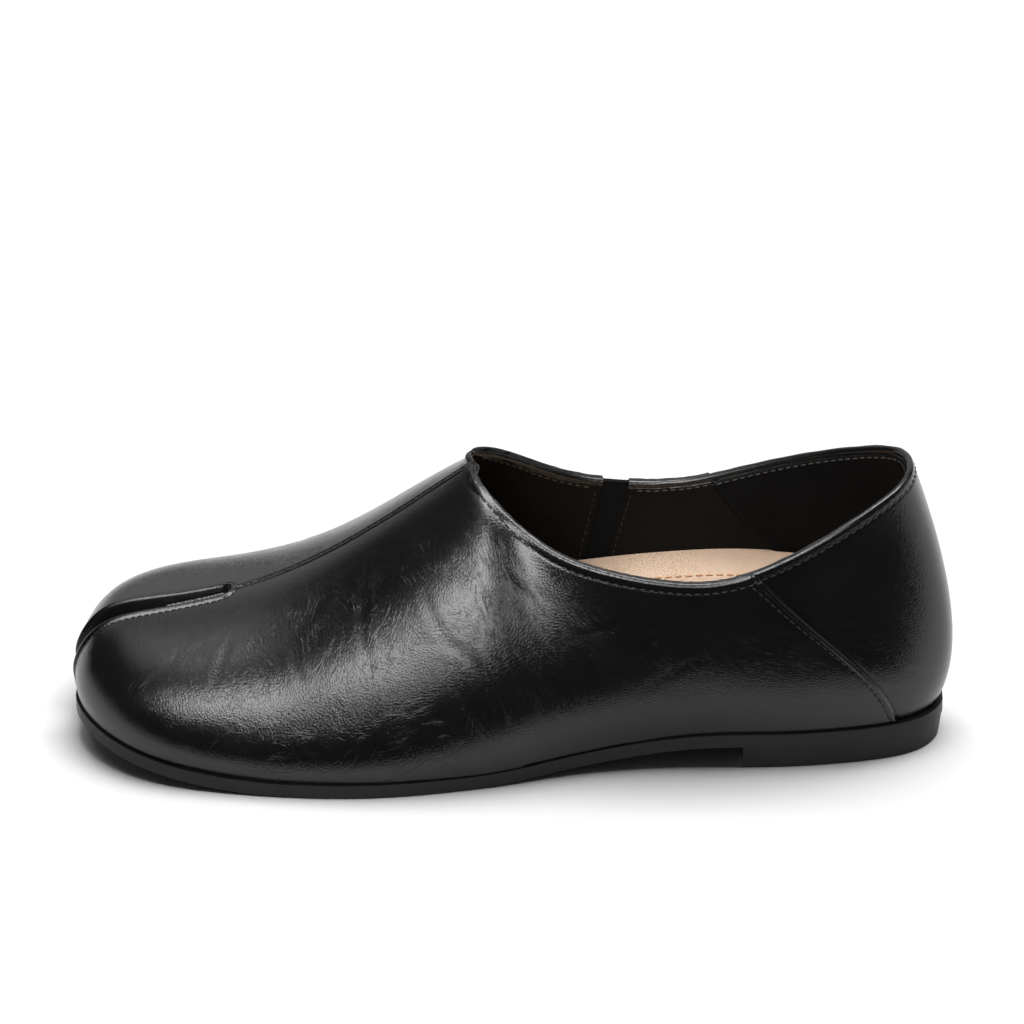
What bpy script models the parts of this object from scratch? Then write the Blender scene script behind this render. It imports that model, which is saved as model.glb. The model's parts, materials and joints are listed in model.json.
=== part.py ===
"""Split-toe loafer for the left foot: upper, toe gusset, elastic gore, insole, outsole and heel.

Sizes are in millimetres, and MM turns them into Blender's metres. A place on the last is given
as along (forward from the back of the sole), across (plus is the inner side of the foot) and
height above the floor. A station is a place on the way round the upper: 0 at the back of the
heel, minus on the outer side, plus on the inner side, and growing towards the toe.
"""

import math
from collections import namedtuple

import bmesh
import bpy
import numpy as np

MM = 0.001

# Driving dimensions of this size, and of the sample size that the tables are drawn for:
# length of the outsole from its back datum, its width at the ball, height of the throat
LENGTH = 252.0
BALL_WIDTH = 91.4
INSTEP_HEIGHT = 84.0
SAMPLE_LENGTH = 252.0
SAMPLE_BALL_WIDTH = 91.4
SAMPLE_INSTEP_HEIGHT = 84.0
GRADE = np.array(
    [LENGTH / SAMPLE_LENGTH, BALL_WIDTH / SAMPLE_BALL_WIDTH, INSTEP_HEIGHT / SAMPLE_INSTEP_HEIGHT]
)

# Where the row's origin lies on the last
ORIGIN_ALONG = 125.0
ORIGIN_ACROSS = 1.2

# Outsole and heel
SOLE_THICKNESS = 4.0
SOLE_MARGIN = 1.6
SOLE_EDGE_ROUND = 0.7
HEEL_HEIGHT = 6.8
HEEL_BREAST = 58.0
HEEL_TAPER = 1.0
HEEL_TOP_INSET = 0.2
ARCH_END = 138.0
TOE_SPRING = 8.6
TOE_SPRING_START = 186.0
GAP = 0.3

# Upper
WALL = 2.0
FRONT_STEP = 0.8
RIM_ROUND = 0.5
RIM_ROUND_WIDTH = 0.6
RIM_FOLD = 3.0
RIM_FOLD_RAISE = 0.3
SEAM_DEPTH = 0.6
SEAM_WIDTH = 1.1
FOOT_RUN = 0.18
TOP_RUN = 0.38

# Split between the toes
SPLIT_EDGE = 1.2
PIPING_WIDTH = 1.2
PIPING_RAISE = 1.0
GUSSET_THICKNESS = 0.8
GUSSET_BACK_GAP = 3.5
GUSSET_TIP_GAP = 7.0
GUSSET_SIDE_GAP = 1.3
GUSSET_MOST_SHARE = 0.55

# Elastic gore
GORE_ROWS = 11
GORE_THICKNESS = 1.2
GORE_SIDE_GAP = 0.4

# Insole
INSOLE_CUP = 5.5
INSOLE_CUP_END = 165.0
INSOLE_CUP_FADE = 60.0
INSOLE_CUP_BACK = 24.0
INSOLE_CUP_POWER = 2.5
INSOLE_CLEARANCE = 0.5
INSOLE_FRONT = 241.0
INSOLE_TIP_GAP = 14.0

# Mesh fineness
WALL_SAMPLES = 96
TOP_STEPS = (0.0, 1.1, 2.2, 3.0, 4.0, 5.2, 7.0, 10.0)
TOP_STEPS_MOST_SHARE = 0.6
LOWER_STEPS = 8
STATION_STEP = 7.0
HEEL_STEP = 4.5
SPLIT_STEP = 3.0
SEAM_STEP = 0.5
SOLE_STATIONS = 50
SOLE_STRIPS = 4
HEEL_STATIONS = 26
INSOLE_STATIONS = 30
INSOLE_STRIPS = 8
GORE_STRIPS = 4
GUSSET_STATIONS = 18
GUSSET_STRIPS = 3
END_FLAT = 0.2
SIDE_STATIONS = 260
SIDE_SHARES = 80
SEAM_SAMPLES = 400
OUTLINE_SAMPLES = 801
EDGE_SEGMENTS = 2
EDGE_ANGLE = 50.0
SMOOTH_ANGLE = 40.0

# Steps for slopes taken along the stations and down the wall, and the smallest lengths told apart
STATION_SLOPE_STEP = 0.2
SHARE_SLOPE_STEP = 0.01
TINY = 1e-9
SMALL_SIDEWAYS = 1e-3
WELD_DISTANCE = 1e-6

Wall = namedtuple("Wall", "station foot_along foot_across flare lean foot_pull top_pull")
Edge = namedtuple("Edge", "station along across height")
Split = namedtuple("Split", "forward half_width depth")
Level = namedtuple("Level", "along height")

# Foot of the wall on the feather line, and the wall's lean in degrees at its foot and at its top
OUTER_WALL = (
    Wall(17, 2.6, -7.7, 28, 15, 0.26, 0.33),
    Wall(30, 6.6, -13.1, 23, 11, 0.29, 0.33),
    Wall(42, 13.7, -17.5, 18, 8, 0.32, 0.33),
    Wall(68, 45.0, -24.0, 14, 5, 0.33, 0.33),
    Wall(97, 80.0, -25.3, 14, 14, 0.33, 0.33),
    Wall(120, 108.0, -29.5, 13, 34, 0.34, 0.32),
    Wall(138, 124.0, -34.5, 13, 62, 0.35, 0.31),
    Wall(155, 140.0, -38.8, 13, 90, 0.36, 0.30),
    Wall(194, 172.0, -43.5, 16, 90, 0.38, 0.33),
    Wall(230, 206.0, -41.0, 18, 90, 0.40, 0.40),
    Wall(254, 230.0, -34.0, 18, 90, 0.42, 0.44),
    Wall(272, 244.3, -22.0, 16, 90, 0.42, 0.45),
    Wall(286, 250.0, -9.0, 12, 90, 0.40, 0.45),
    Wall(296, 250.4, 0.8, 0, 90, 0.40, 0.00),
)
HEEL_WALL = Wall(0, 1.0, 0.0, 30, 20, 0.25, 0.33)
INNER_WALL = (
    Wall(17, 3.2, 7.7, 28, 15, 0.26, 0.33),
    Wall(32, 8.3, 13.7, 23, 11, 0.29, 0.33),
    Wall(48, 19.1, 19.0, 18, 8, 0.32, 0.33),
    Wall(76, 60.0, 25.0, 18, 5, 0.33, 0.33),
    Wall(104, 104.0, 27.0, 20, 8, 0.33, 0.33),
    Wall(111, 110.5, 28.4, 20, 12, 0.33, 0.33),
    Wall(123, 119.0, 31.0, 18, 32, 0.35, 0.35),
    Wall(139, 129.0, 34.5, 16, 62, 0.38, 0.37),
    Wall(155, 140.0, 38.2, 15, 90, 0.42, 0.40),
    Wall(194, 172.0, 44.7, 16, 90, 0.47, 0.46),
    Wall(230, 206.0, 43.8, 18, 90, 0.50, 0.56),
    Wall(254, 230.0, 38.0, 18, 90, 0.52, 0.60),
    Wall(272, 243.3, 26.5, 16, 90, 0.47, 0.55),
    Wall(286, 249.4, 13.0, 12, 90, 0.40, 0.45),
    Wall(296, 250.4, 0.8, 0, 90, 0.40, 0.00),
)

# Edge of the collar from the throat round the heel, and the centre seam from throat to toe
OUTER_COLLAR = (
    Edge(8, 13.1, -11.4, 86.0),
    Edge(17, 24.0, -21.0, 81.1),
    Edge(42, 55.5, -29.0, 65.8),
    Edge(68, 78.0, -30.4, 63.2),
    Edge(97, 100.0, -28.2, 66.4),
    Edge(120, 116.0, -22.0, 71.2),
    Edge(138, 129.4, -11.3, 78.9),
    Edge(147, 134.6, -4.7, 82.6),
    Edge(155, 136.0, 2.0, 84.0),
)
HEEL_TOP = Edge(0, 10.5, 0.0, 87.2)
INNER_COLLAR = (
    Edge(8, 14.0, 11.0, 86.0),
    Edge(17, 26.5, 20.0, 81.4),
    Edge(48, 68.0, 31.5, 66.2),
    Edge(76, 80.0, 32.2, 64.0),
    Edge(104, 91.3, 31.8, 64.0),
    Edge(111, 99.0, 31.0, 65.0),
    Edge(123, 113.0, 27.7, 69.5),
    Edge(139, 131.0, 15.5, 81.5),
    Edge(147, 137.0, 8.9, 84.2),
    Edge(155, 136.0, 2.0, 84.0),
)
CENTRE_SEAM = (
    Edge(155, 136.0, 2.0, 84.0),
    Edge(194, 172.5, 2.0, 57.7),
    Edge(230, 206.5, 1.6, 41.8),
    Edge(254, 230.0, 1.2, 36.9),
    Edge(272, 245.0, 1.0, 31.5),
    Edge(286, 251.2, 0.9, 21.2),
    Edge(296, 250.9, 0.8, 17.0),
)

# The split, by distance forward from its round end
TOE_SPLIT = (
    Split(0, 2.4, 2.2),
    Split(20, 3.2, 3.4),
    Split(42, 4.0, 5.0),
    Split(60, 3.6, 2.5),
)

# Top of the insole along its middle
INSOLE_TOP = (
    Level(0, 37.6),
    Level(50, 37.6),
    Level(100, 32.6),
    Level(140, 22.0),
    Level(175, 11.5),
    Level(215, 8.5),
    Level(252, 17.0),
)

THROAT_STATION = CENTRE_SEAM[0].station
SPLIT_STATION = CENTRE_SEAM[2].station
TIP_STATION = CENTRE_SEAM[-1].station
OUTER_SEAM_STATION = OUTER_COLLAR[2].station
INNER_SEAM_STATION = INNER_COLLAR[2].station
GORE_STATIONS = (INNER_COLLAR[4].station, INNER_COLLAR[5].station)


class Curve:
    """A natural cubic spline through the rows of a table, by its first column."""

    def __init__(self, rows):
        table = np.array(rows, float)
        self.place = table[:, 0]
        self.value = table[:, 1:]
        step = np.diff(self.place)
        slope = np.diff(self.value, axis=0) / step[:, None]
        count = len(table)
        system = np.eye(count)
        change = np.zeros_like(self.value)
        for i in range(1, count - 1):
            system[i, i - 1 : i + 2] = step[i - 1], 2 * (step[i - 1] + step[i]), step[i]
            change[i] = 6 * (slope[i] - slope[i - 1])
        self.bend = np.linalg.solve(system, change)

    def __call__(self, places):
        places = np.clip(np.asarray(places, float), self.place[0], self.place[-1])
        i = np.clip(np.searchsorted(self.place, places) - 1, 0, len(self.place) - 2)
        step = (self.place[i + 1] - self.place[i])[..., None]
        right = (places - self.place[i])[..., None] / step
        left = 1 - right
        curve = (left**3 - left) * self.bend[i] + (right**3 - right) * self.bend[i + 1]
        return left * self.value[i] + right * self.value[i + 1] + curve * step**2 / 6


def mirrored_rows(outer, middle, inner):
    """One table round the heel: the outer side's rows with minus stations, the heel's, the inner side's."""
    return [row._replace(station=-row.station) for row in reversed(outer)] + [middle, *inner]


WALL_CURVE = Curve(mirrored_rows(OUTER_WALL, HEEL_WALL, INNER_WALL))
COLLAR_CURVE = Curve(mirrored_rows(OUTER_COLLAR, HEEL_TOP, INNER_COLLAR))
SEAM_CURVE = Curve(CENTRE_SEAM)
SPLIT_CURVE = Curve(TOE_SPLIT)
INSOLE_CURVE = Curve(INSOLE_TOP)


def smooth_step(value):
    value = np.clip(value, 0, 1)
    return value * value * (3 - 2 * value)


def bump(value):
    return np.exp(-(value**2))


def sole_underside(along):
    """Height of the sole's underside: on the heel, over the arch, flat under the ball, up at the toe."""
    place = along / GRADE[0]
    arch = (HEEL_HEIGHT + GAP) * smooth_step((ARCH_END - place) / (ARCH_END - HEEL_BREAST))
    past_ball = np.clip((place - TOE_SPRING_START) / (SAMPLE_LENGTH - TOE_SPRING_START), 0, None)
    return arch + TOE_SPRING * past_ball**2


def sole_topside(along):
    return sole_underside(along) + SOLE_THICKNESS


def unit(vectors):
    return vectors / np.maximum(np.linalg.norm(vectors, axis=-1, keepdims=True), TINY)


def foot_line(stations):
    """Points of the feather line and its outward directions, seen from above."""
    step = STATION_SLOPE_STEP
    places = np.clip(stations, -TIP_STATION + step, TIP_STATION - step)
    ahead = WALL_CURVE(places + step)[:, :2]
    behind = WALL_CURVE(places - step)[:, :2]
    run = unit(ahead - behind)
    outward = np.stack([-run[:, 1], run[:, 0]], axis=1)
    return WALL_CURVE(stations)[:, :2] * GRADE[:2], outward


def top_line(stations):
    """Points of the upper's top edge: the collar, or the centre seam in front of the throat."""
    on_collar = COLLAR_CURVE(np.clip(stations, -THROAT_STATION, THROAT_STATION))
    on_seam = SEAM_CURVE(np.clip(np.abs(stations), THROAT_STATION, TIP_STATION))
    in_front = (np.abs(stations) > THROAT_STATION)[:, None]
    return np.where(in_front, on_seam, on_collar) * GRADE


def wall_controls(stations):
    """The four Bezier points of the wall at each station, from its foot to its top."""
    shape = WALL_CURVE(stations)
    flare = np.radians(shape[:, 2:3])
    lean = np.radians(shape[:, 3:4])
    plan, outward = foot_line(stations)
    foot = np.column_stack([plan, sole_topside(plan[:, 0]) + GAP])
    top = top_line(stations)
    side = np.where(stations < 0, -1.0, 1.0)
    out_foot = np.column_stack([outward, np.zeros(len(stations))])
    sideways = np.where(stations == 0, 0.0, side * np.maximum(np.abs(outward[:, 1]), SMALL_SIDEWAYS))
    out_top = unit(np.column_stack([np.minimum(outward[:, 0], 0), sideways, np.zeros(len(stations))]))
    up = np.array([0.0, 0.0, 1.0])
    span = top - foot
    reach = np.linalg.norm(span, axis=1, keepdims=True)
    level = span * np.array([1.0, 1.0, 0.0])
    run = level - np.sum(level * out_top, axis=1, keepdims=True) * out_top
    run = run * np.cos(lean)
    foot_pull = shape[:, 4:5] * reach
    top_pull = shape[:, 5:6] * reach
    low = foot + foot_pull * (np.cos(flare) * up + np.sin(flare) * out_foot) + FOOT_RUN * run
    high = top + top_pull * (np.sin(lean) * out_top - np.cos(lean) * up) - TOP_RUN * run
    return np.stack([foot, low, high, top], axis=1)


def wall_points(stations, shares):
    """Points of the last on each wall. A share is 0 at the top edge and 1 at the foot, by length."""
    controls = wall_controls(stations)
    t = np.linspace(1, 0, WALL_SAMPLES + 1)[:, None]
    weights = np.hstack([(1 - t) ** 3, 3 * t * (1 - t) ** 2, 3 * t**2 * (1 - t), t**3])
    curve = np.einsum("tk,skc->stc", weights, controls)
    lengths = np.cumsum(np.linalg.norm(np.diff(curve, axis=1), axis=2), axis=1)
    lengths = np.hstack([np.zeros((len(stations), 1)), lengths])
    points = np.empty((len(stations), shares.shape[1], 3))
    for i, (line, length) in enumerate(zip(curve, lengths)):
        for axis in range(3):
            points[i, :, axis] = np.interp(shares[i] * length[-1], length, line[:, axis])
    return points, lengths[:, -1]


def wall_normals(stations, shares):
    """Outward directions of the last: level at the foot, and the same for both sides at the centre."""
    step, drop = STATION_SLOPE_STEP, SHARE_SLOPE_STEP
    inside = np.clip(stations, -TIP_STATION + 3 * step, TIP_STATION - 3 * step)
    along = wall_points(inside + step, shares)[0] - wall_points(inside - step, shares)[0]
    down = wall_points(inside, np.minimum(shares + drop, 1))[0]
    down = down - wall_points(inside, np.maximum(shares - drop, 0))[0]
    outward = unit(np.cross(along, down))
    from_heel = np.abs(stations)[:, None]
    shared = (from_heel >= TIP_STATION) | ((from_heel >= THROAT_STATION) & (shares == 0))
    outward[..., 1] *= ~shared
    outward[..., 2] *= shares < 1
    return unit(outward)


def to_metres(points):
    """Last places in the row's frame: the toe points to -X, the inner side to +Y."""
    places = np.asarray(points, float)
    x = ORIGIN_ALONG - places[..., 0]
    y = places[..., 1] - ORIGIN_ACROSS
    return np.stack([x, y, places[..., 2]], axis=-1) * MM


def seam_forward(stations):
    """Distance along the centre seam in front of the split's round end, minus behind it."""
    places = np.linspace(THROAT_STATION, TIP_STATION, SEAM_SAMPLES)
    line = SEAM_CURVE(places) * GRADE
    run = np.concatenate([[0], np.cumsum(np.linalg.norm(np.diff(line, axis=0), axis=1))])
    run = run - np.interp(SPLIT_STATION, places, run)
    behind = (np.abs(stations) - THROAT_STATION) * (np.abs(stations) < THROAT_STATION)
    return np.interp(np.abs(stations), places, run) + behind


def split_shape(stations, last):
    """(distance from the split's middle line, its half width, its depth) at points of the last."""
    forward = seam_forward(stations)[:, None]
    split = SPLIT_CURVE(np.clip(forward, 0, None))
    half_width, depth = split[..., 0], split[..., 1]
    aside = last[..., 1] - top_line(stations)[:, None, 1]
    distance = np.hypot(aside, np.clip(TOE_SPLIT[0].half_width - forward, 0, None))
    return distance, half_width, depth


def is_front(stations):
    """True on the front panel, which lies over the back panel along the two slanting seams."""
    return (stations > INNER_SEAM_STATION) | (stations < -OUTER_SEAM_STATION)


def outer_relief(stations, last, down):
    """How far the outside stands off the last: seams, split, piping, front panel and folded rim."""
    distance, half_width, depth = split_shape(stations, last)
    on_collar = np.abs(stations)[:, None] <= THROAT_STATION
    raised = np.where(is_front(stations)[:, None], FRONT_STEP, 0.0)
    fold = np.where(down < RIM_FOLD, RIM_FOLD_RAISE, 0.0) - RIM_ROUND * bump(down / RIM_ROUND_WIDTH)
    seam = -SEAM_DEPTH * bump(down / SEAM_WIDTH)
    split = -depth * smooth_step((half_width - distance) / SPLIT_EDGE + 0.5)
    piping = PIPING_RAISE * bump((distance - half_width - PIPING_WIDTH) / PIPING_WIDTH)
    in_split = smooth_step((half_width + PIPING_WIDTH - distance) / SPLIT_EDGE)
    return raised + np.where(on_collar, fold, seam * (1 - in_split)) + split + piping


def inner_relief(stations, last, down):
    """How far the inside lies under the last, with a ridge behind the split."""
    distance, half_width, depth = split_shape(stations, last)
    ridge = depth * smooth_step((half_width + WALL - distance) / (2 * SPLIT_EDGE) + 0.5)
    on_collar = np.abs(stations)[:, None] <= THROAT_STATION
    rim = np.where(on_collar, RIM_ROUND * bump(down / RIM_ROUND_WIDTH), 0.0)
    return -(WALL + ridge - rim)


def upper_stations():
    """Stations round the upper, closer at the split's end and doubled at the slanting seams."""
    fixed = {-TIP_STATION, TIP_STATION, -THROAT_STATION, THROAT_STATION, 0}
    fixed |= {-SPLIT_STATION, SPLIT_STATION, *GORE_STATIONS}
    for seam in (-OUTER_SEAM_STATION, INNER_SEAM_STATION):
        fixed |= {seam, seam + math.copysign(SEAM_STEP, seam)}
    marks = sorted(fixed)
    stations = [marks[0]]
    for start, end in zip(marks, marks[1:]):
        step = STATION_STEP
        if min(abs(start), abs(end)) >= SPLIT_STATION:
            step = SPLIT_STEP
        if max(abs(start), abs(end)) <= INNER_SEAM_STATION:
            step = HEEL_STEP
        parts = math.ceil((end - start) / step)
        stations += [start + (end - start) * (k + 1) / parts for k in range(parts)]
    return np.array(stations, float)


def wall_shares(stations):
    """Shares down each wall: close steps by distance under the top edge, even steps below."""
    length = wall_points(stations, np.zeros((len(stations), 1)))[1][:, None]
    steps = np.array(TOP_STEPS)
    squeeze = np.minimum(1, TOP_STEPS_MOST_SHARE * length / steps[-1])
    upper_part = steps * squeeze / length
    rest = np.linspace(0, 1, LOWER_STEPS + 1)[1:]
    lower_part = upper_part[:, -1:] + (1 - upper_part[:, -1:]) * rest
    return np.hstack([upper_part, lower_part]), length


def grid_mesh(columns, rows):
    """A bmesh grid with each vertex's column and row kept in two layers."""
    mesh = bmesh.new()
    column = mesh.verts.layers.int.new("column")
    row = mesh.verts.layers.int.new("row")
    bmesh.ops.create_grid(mesh, x_segments=columns - 1, y_segments=rows - 1, size=1)
    for vert in mesh.verts:
        vert[column] = round((vert.co.x + 1) / 2 * (columns - 1))
        vert[row] = round((vert.co.y + 1) / 2 * (rows - 1))
    return mesh, column, row


def place_grid(mesh, column, row, points):
    for vert in mesh.verts:
        vert.co = points[vert[column], vert[row]]


def thicken(mesh, column, row, far_points):
    """Closes a sheet into a solid: its copy goes to far_points, and its open edges get walls."""
    near = set(mesh.verts)
    bmesh.ops.extrude_face_region(mesh, geom=mesh.faces[:], use_keep_orig=True)
    for vert in mesh.verts:
        if vert not in near:
            vert.co = far_points[vert[column], vert[row]]
    bmesh.ops.recalc_face_normals(mesh, faces=mesh.faces[:])
    if mesh.calc_volume(signed=True) < 0:
        bmesh.ops.reverse_faces(mesh, faces=mesh.faces[:])


def finish_object(name, mesh, material):
    data = bpy.data.meshes.new(name)
    mesh.to_mesh(data)
    mesh.free()
    data.materials.append(material)
    data.shade_smooth()
    data.set_sharp_from_angle(angle=math.radians(SMOOTH_ANGLE))
    made = bpy.data.objects.new(name, data)
    bpy.context.scene.collection.objects.link(made)
    return made


def make_material(name, colour, roughness):
    material = bpy.data.materials.new(name)
    material.use_nodes = True
    shader = material.node_tree.nodes["Principled BSDF"]
    shader.inputs["Base Color"].default_value = (*colour, 1.0)
    shader.inputs["Roughness"].default_value = roughness
    shader.inputs["Metallic"].default_value = 0.0
    return material


def make_upper(material):
    """The hollow upper: one wall from the feather line to the collar, closed over the vamp."""
    stations = upper_stations()
    shares, length = wall_shares(stations)
    down = shares * length
    last = wall_points(stations, shares)[0]
    normals = wall_normals(stations, shares)
    outside = last + normals * outer_relief(stations, last, down)[..., None]
    inside = last + normals * inner_relief(stations, last, down)[..., None]
    for sheet in (outside, inside):
        seat = sole_topside(sheet[..., 0]) + GAP
        sheet[..., 2] = np.maximum(sheet[..., 2], seat)
        sheet[:, -1, 2] = seat[:, -1]
    mesh, column, row = grid_mesh(*shares.shape)
    place_grid(mesh, column, row, to_metres(outside))
    in_slot = [
        face
        for face in mesh.faces
        if all(GORE_STATIONS[0] <= stations[v[column]] <= GORE_STATIONS[1] for v in face.verts)
        and all(v[row] <= GORE_ROWS for v in face.verts)
    ]
    bmesh.ops.delete(mesh, geom=in_slot, context="FACES")
    bmesh.ops.remove_doubles(mesh, verts=mesh.verts[:], dist=WELD_DISTANCE)
    thicken(mesh, column, row, to_metres(inside))
    bmesh.ops.remove_doubles(mesh, verts=mesh.verts[:], dist=WELD_DISTANCE)
    return finish_object("upper", mesh, material)


def make_gore(material):
    """The elastic strip in the slot of the inner side, a little thinner than the wall."""
    ends = np.array(GORE_STATIONS, float)
    stations = np.linspace(ends[0], ends[1], GORE_STRIPS + 1)
    slot_shares, length = wall_shares(stations)
    start = (RIM_ROUND + GAP) / length
    end = slot_shares[:, GORE_ROWS : GORE_ROWS + 1] - 2 * GAP / length
    shares = start + (end - start) * np.linspace(0, 1, GORE_ROWS)
    last = wall_points(stations, shares)[0]
    middle = last[GORE_STRIPS // 2, None]
    width = np.linalg.norm(last[-1] - last[0], axis=1)[None, :, None]
    last = middle + (last - middle) * (1 - 2 * GORE_SIDE_GAP / width)
    normals = wall_normals(stations, shares)
    far = -(WALL + GORE_THICKNESS) / 2
    mesh, column, row = grid_mesh(*shares.shape)
    place_grid(mesh, column, row, to_metres(last + normals * (far + GORE_THICKNESS)))
    thicken(mesh, column, row, to_metres(last + normals * far))
    return finish_object("elastic_gore", mesh, material)


def make_gusset(material):
    """The strip on the floor of the split, from its round end down to the toe's foot."""
    stations = np.linspace(SPLIT_STATION + GUSSET_BACK_GAP, TIP_STATION - GUSSET_TIP_GAP, GUSSET_STATIONS)
    stations = np.concatenate([-stations[::-1], stations])
    count = len(stations)
    length = wall_points(stations, np.zeros((count, 1)))[1][:, None]
    half_width = SPLIT_CURVE(np.clip(seam_forward(stations), 0, None))[:, :1]
    reach = np.minimum(half_width - GUSSET_SIDE_GAP, GUSSET_MOST_SHARE * length)
    shares = reach / length * np.linspace(0, 1, GUSSET_STRIPS + 1)
    last = wall_points(stations, shares)[0]
    normals = wall_normals(stations, shares)
    floor = outer_relief(stations, last, shares * length)[..., None] + GAP
    half = count // 2
    mesh, column, row = grid_mesh(half, 2 * GUSSET_STRIPS + 1)
    near, far = (
        to_metres(np.hstack([sheet[:half][::-1, ::-1], sheet[half:][:, 1:]]))
        for sheet in (last + normals * (floor + GUSSET_THICKNESS), last + normals * floor)
    )
    place_grid(mesh, column, row, near)
    thicken(mesh, column, row, far)
    return finish_object("toe_gusset", mesh, material)


def plan_grid(outer, inner, strips, count, front=LENGTH):
    """A grid of (along, across) between the two sides of an outline, crowded towards its ends."""
    start = max(outer[:, 0].min(), inner[:, 0].min()) + END_FLAT
    end = min(outer[:, 0].max() - END_FLAT, inner[:, 0].max() - END_FLAT, front)
    along = start + (end - start) * (1 - np.cos(np.linspace(0, np.pi, count))) / 2
    outer_across, inner_across = (
        np.interp(along, *side[np.argsort(side[:, 0])].T) for side in (outer, inner)
    )
    share = np.linspace(0, 1, strips + 1)
    across = outer_across[:, None] * (1 - share) + inner_across[:, None] * share
    return np.repeat(along[:, None], strips + 1, axis=1), across


def sole_sides(margin):
    """The outer and the inner side of the sole's outline, margin outside the feather line."""
    stations = np.linspace(-TIP_STATION, TIP_STATION, OUTLINE_SAMPLES)
    plan, outward = foot_line(stations)
    plan = plan + outward * margin
    return plan[stations <= 0], plan[stations >= 0]


def make_outsole(material):
    """The outsole: even thickness, up over the heel and at the toe, flat under the ball."""
    along, across = plan_grid(*sole_sides(SOLE_MARGIN), SOLE_STRIPS, SOLE_STATIONS)
    mesh, column, row = grid_mesh(*along.shape)
    top = to_metres(np.stack([along, across, sole_topside(along)], axis=-1))
    under = to_metres(np.stack([along, across, sole_underside(along)], axis=-1))
    place_grid(mesh, column, row, top)
    thicken(mesh, column, row, under)
    made = finish_object("outsole", mesh, material)
    rounded = made.modifiers.new("edge_round", "BEVEL")
    rounded.width = SOLE_EDGE_ROUND * MM
    rounded.segments = EDGE_SEGMENTS
    rounded.limit_method = "ANGLE"
    rounded.angle_limit = math.radians(EDGE_ANGLE)
    return made


def make_heel(material):
    """The low heel under the back of the outsole, drawn in towards its flat top piece."""
    grids = []
    for margin in (SOLE_MARGIN - HEEL_TOP_INSET, SOLE_MARGIN - HEEL_TAPER):
        sides = sole_sides(margin)
        grids.append(plan_grid(*sides, SOLE_STRIPS, HEEL_STATIONS, HEEL_BREAST * GRADE[0]))
    (along, across), (low_along, low_across) = grids
    mesh, column, row = grid_mesh(*along.shape)
    top = np.stack([along, across, np.full_like(along, HEEL_HEIGHT)], axis=-1)
    under = np.stack([low_along, low_across, np.zeros_like(along)], axis=-1)
    place_grid(mesh, column, row, to_metres(top))
    thicken(mesh, column, row, to_metres(under))
    return finish_object("heel", mesh, material)


def inner_side(sign, height_of):
    """Where the insole meets the inside of the wall on one side, at a height that varies along."""
    stations = sign * np.linspace(0, TIP_STATION - INSOLE_TIP_GAP, SIDE_STATIONS)
    shares = np.tile(np.linspace(0, 1, SIDE_SHARES), (len(stations), 1))
    last, length = wall_points(stations, shares)
    relief = inner_relief(stations, last, shares * length[:, None]) - INSOLE_CLEARANCE
    inside = last + wall_normals(stations, shares) * relief[..., None]
    meets = []
    for line in inside:
        above = line[:, 2] - height_of(line[:, 0])
        low = np.argmax(above <= 0) if above[-1] <= 0 else len(above) - 1
        share = min(1.0, above[low - 1] / (above[low - 1] - above[low]))
        meets.append(line[low - 1] + (line[low] - line[low - 1]) * share)
    return np.array(meets)[:, :2]


def insole_middle(along):
    return INSOLE_CURVE(np.asarray(along) / GRADE[0])[..., 0]


def insole_edge(along):
    """Height of the insole's edge, which is cupped at the heel and level with its middle in front."""
    cupped = smooth_step((INSOLE_CUP_END - along / GRADE[0]) / INSOLE_CUP_FADE)
    return insole_middle(along) + INSOLE_CUP * cupped


def make_insole(material):
    """The footbed: thick under the heel, cupped at its sides, thin under the toes."""
    outer, inner = (inner_side(sign, insole_edge) for sign in (-1, 1))
    front = INSOLE_FRONT * GRADE[0]
    along, across = plan_grid(outer, inner, INSOLE_STRIPS, INSOLE_STATIONS, front)
    beside = np.abs(np.linspace(-1, 1, across.shape[1])) ** INSOLE_CUP_POWER
    behind = np.clip(1 - (along - along[0, 0]) / INSOLE_CUP_BACK, 0, 1) ** INSOLE_CUP_POWER
    middle = insole_middle(along)
    height = middle + (insole_edge(along) - middle) * (1 - (1 - beside) * (1 - behind))
    low_outer, low_inner = (inner_side(sign, lambda a: sole_topside(a) + 2 * GAP) for sign in (-1, 1))
    low_along, low_across = plan_grid(low_outer, low_inner, INSOLE_STRIPS, INSOLE_STATIONS, front)
    mesh, column, row = grid_mesh(*along.shape)
    place_grid(mesh, column, row, to_metres(np.stack([along, across, height], axis=-1)))
    low = np.stack([low_along, low_across, sole_topside(low_along) + GAP], axis=-1)
    thicken(mesh, column, row, to_metres(low))
    return finish_object("insole", mesh, material)


def clear_scene():
    for old in list(bpy.data.objects):
        bpy.data.objects.remove(old)


def main():
    clear_scene()
    black_leather = make_material("black_leather", (0.012, 0.012, 0.013), 0.32)
    sole_rubber = make_material("sole_rubber", (0.016, 0.016, 0.017), 0.5)
    sock_leather = make_material("sock_leather", (0.71, 0.52, 0.38), 0.6)
    elastic = make_material("elastic", (0.01, 0.01, 0.01), 0.85)
    shoe = bpy.data.objects.new("shoe", None)
    bpy.context.scene.collection.objects.link(shoe)
    pieces = [
        make_upper(black_leather),
        make_gusset(black_leather),
        make_gore(elastic),
        make_outsole(sole_rubber),
        make_heel(sole_rubber),
        make_insole(sock_leather),
    ]
    for piece in pieces:
        piece.parent = shoe


main()
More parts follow.
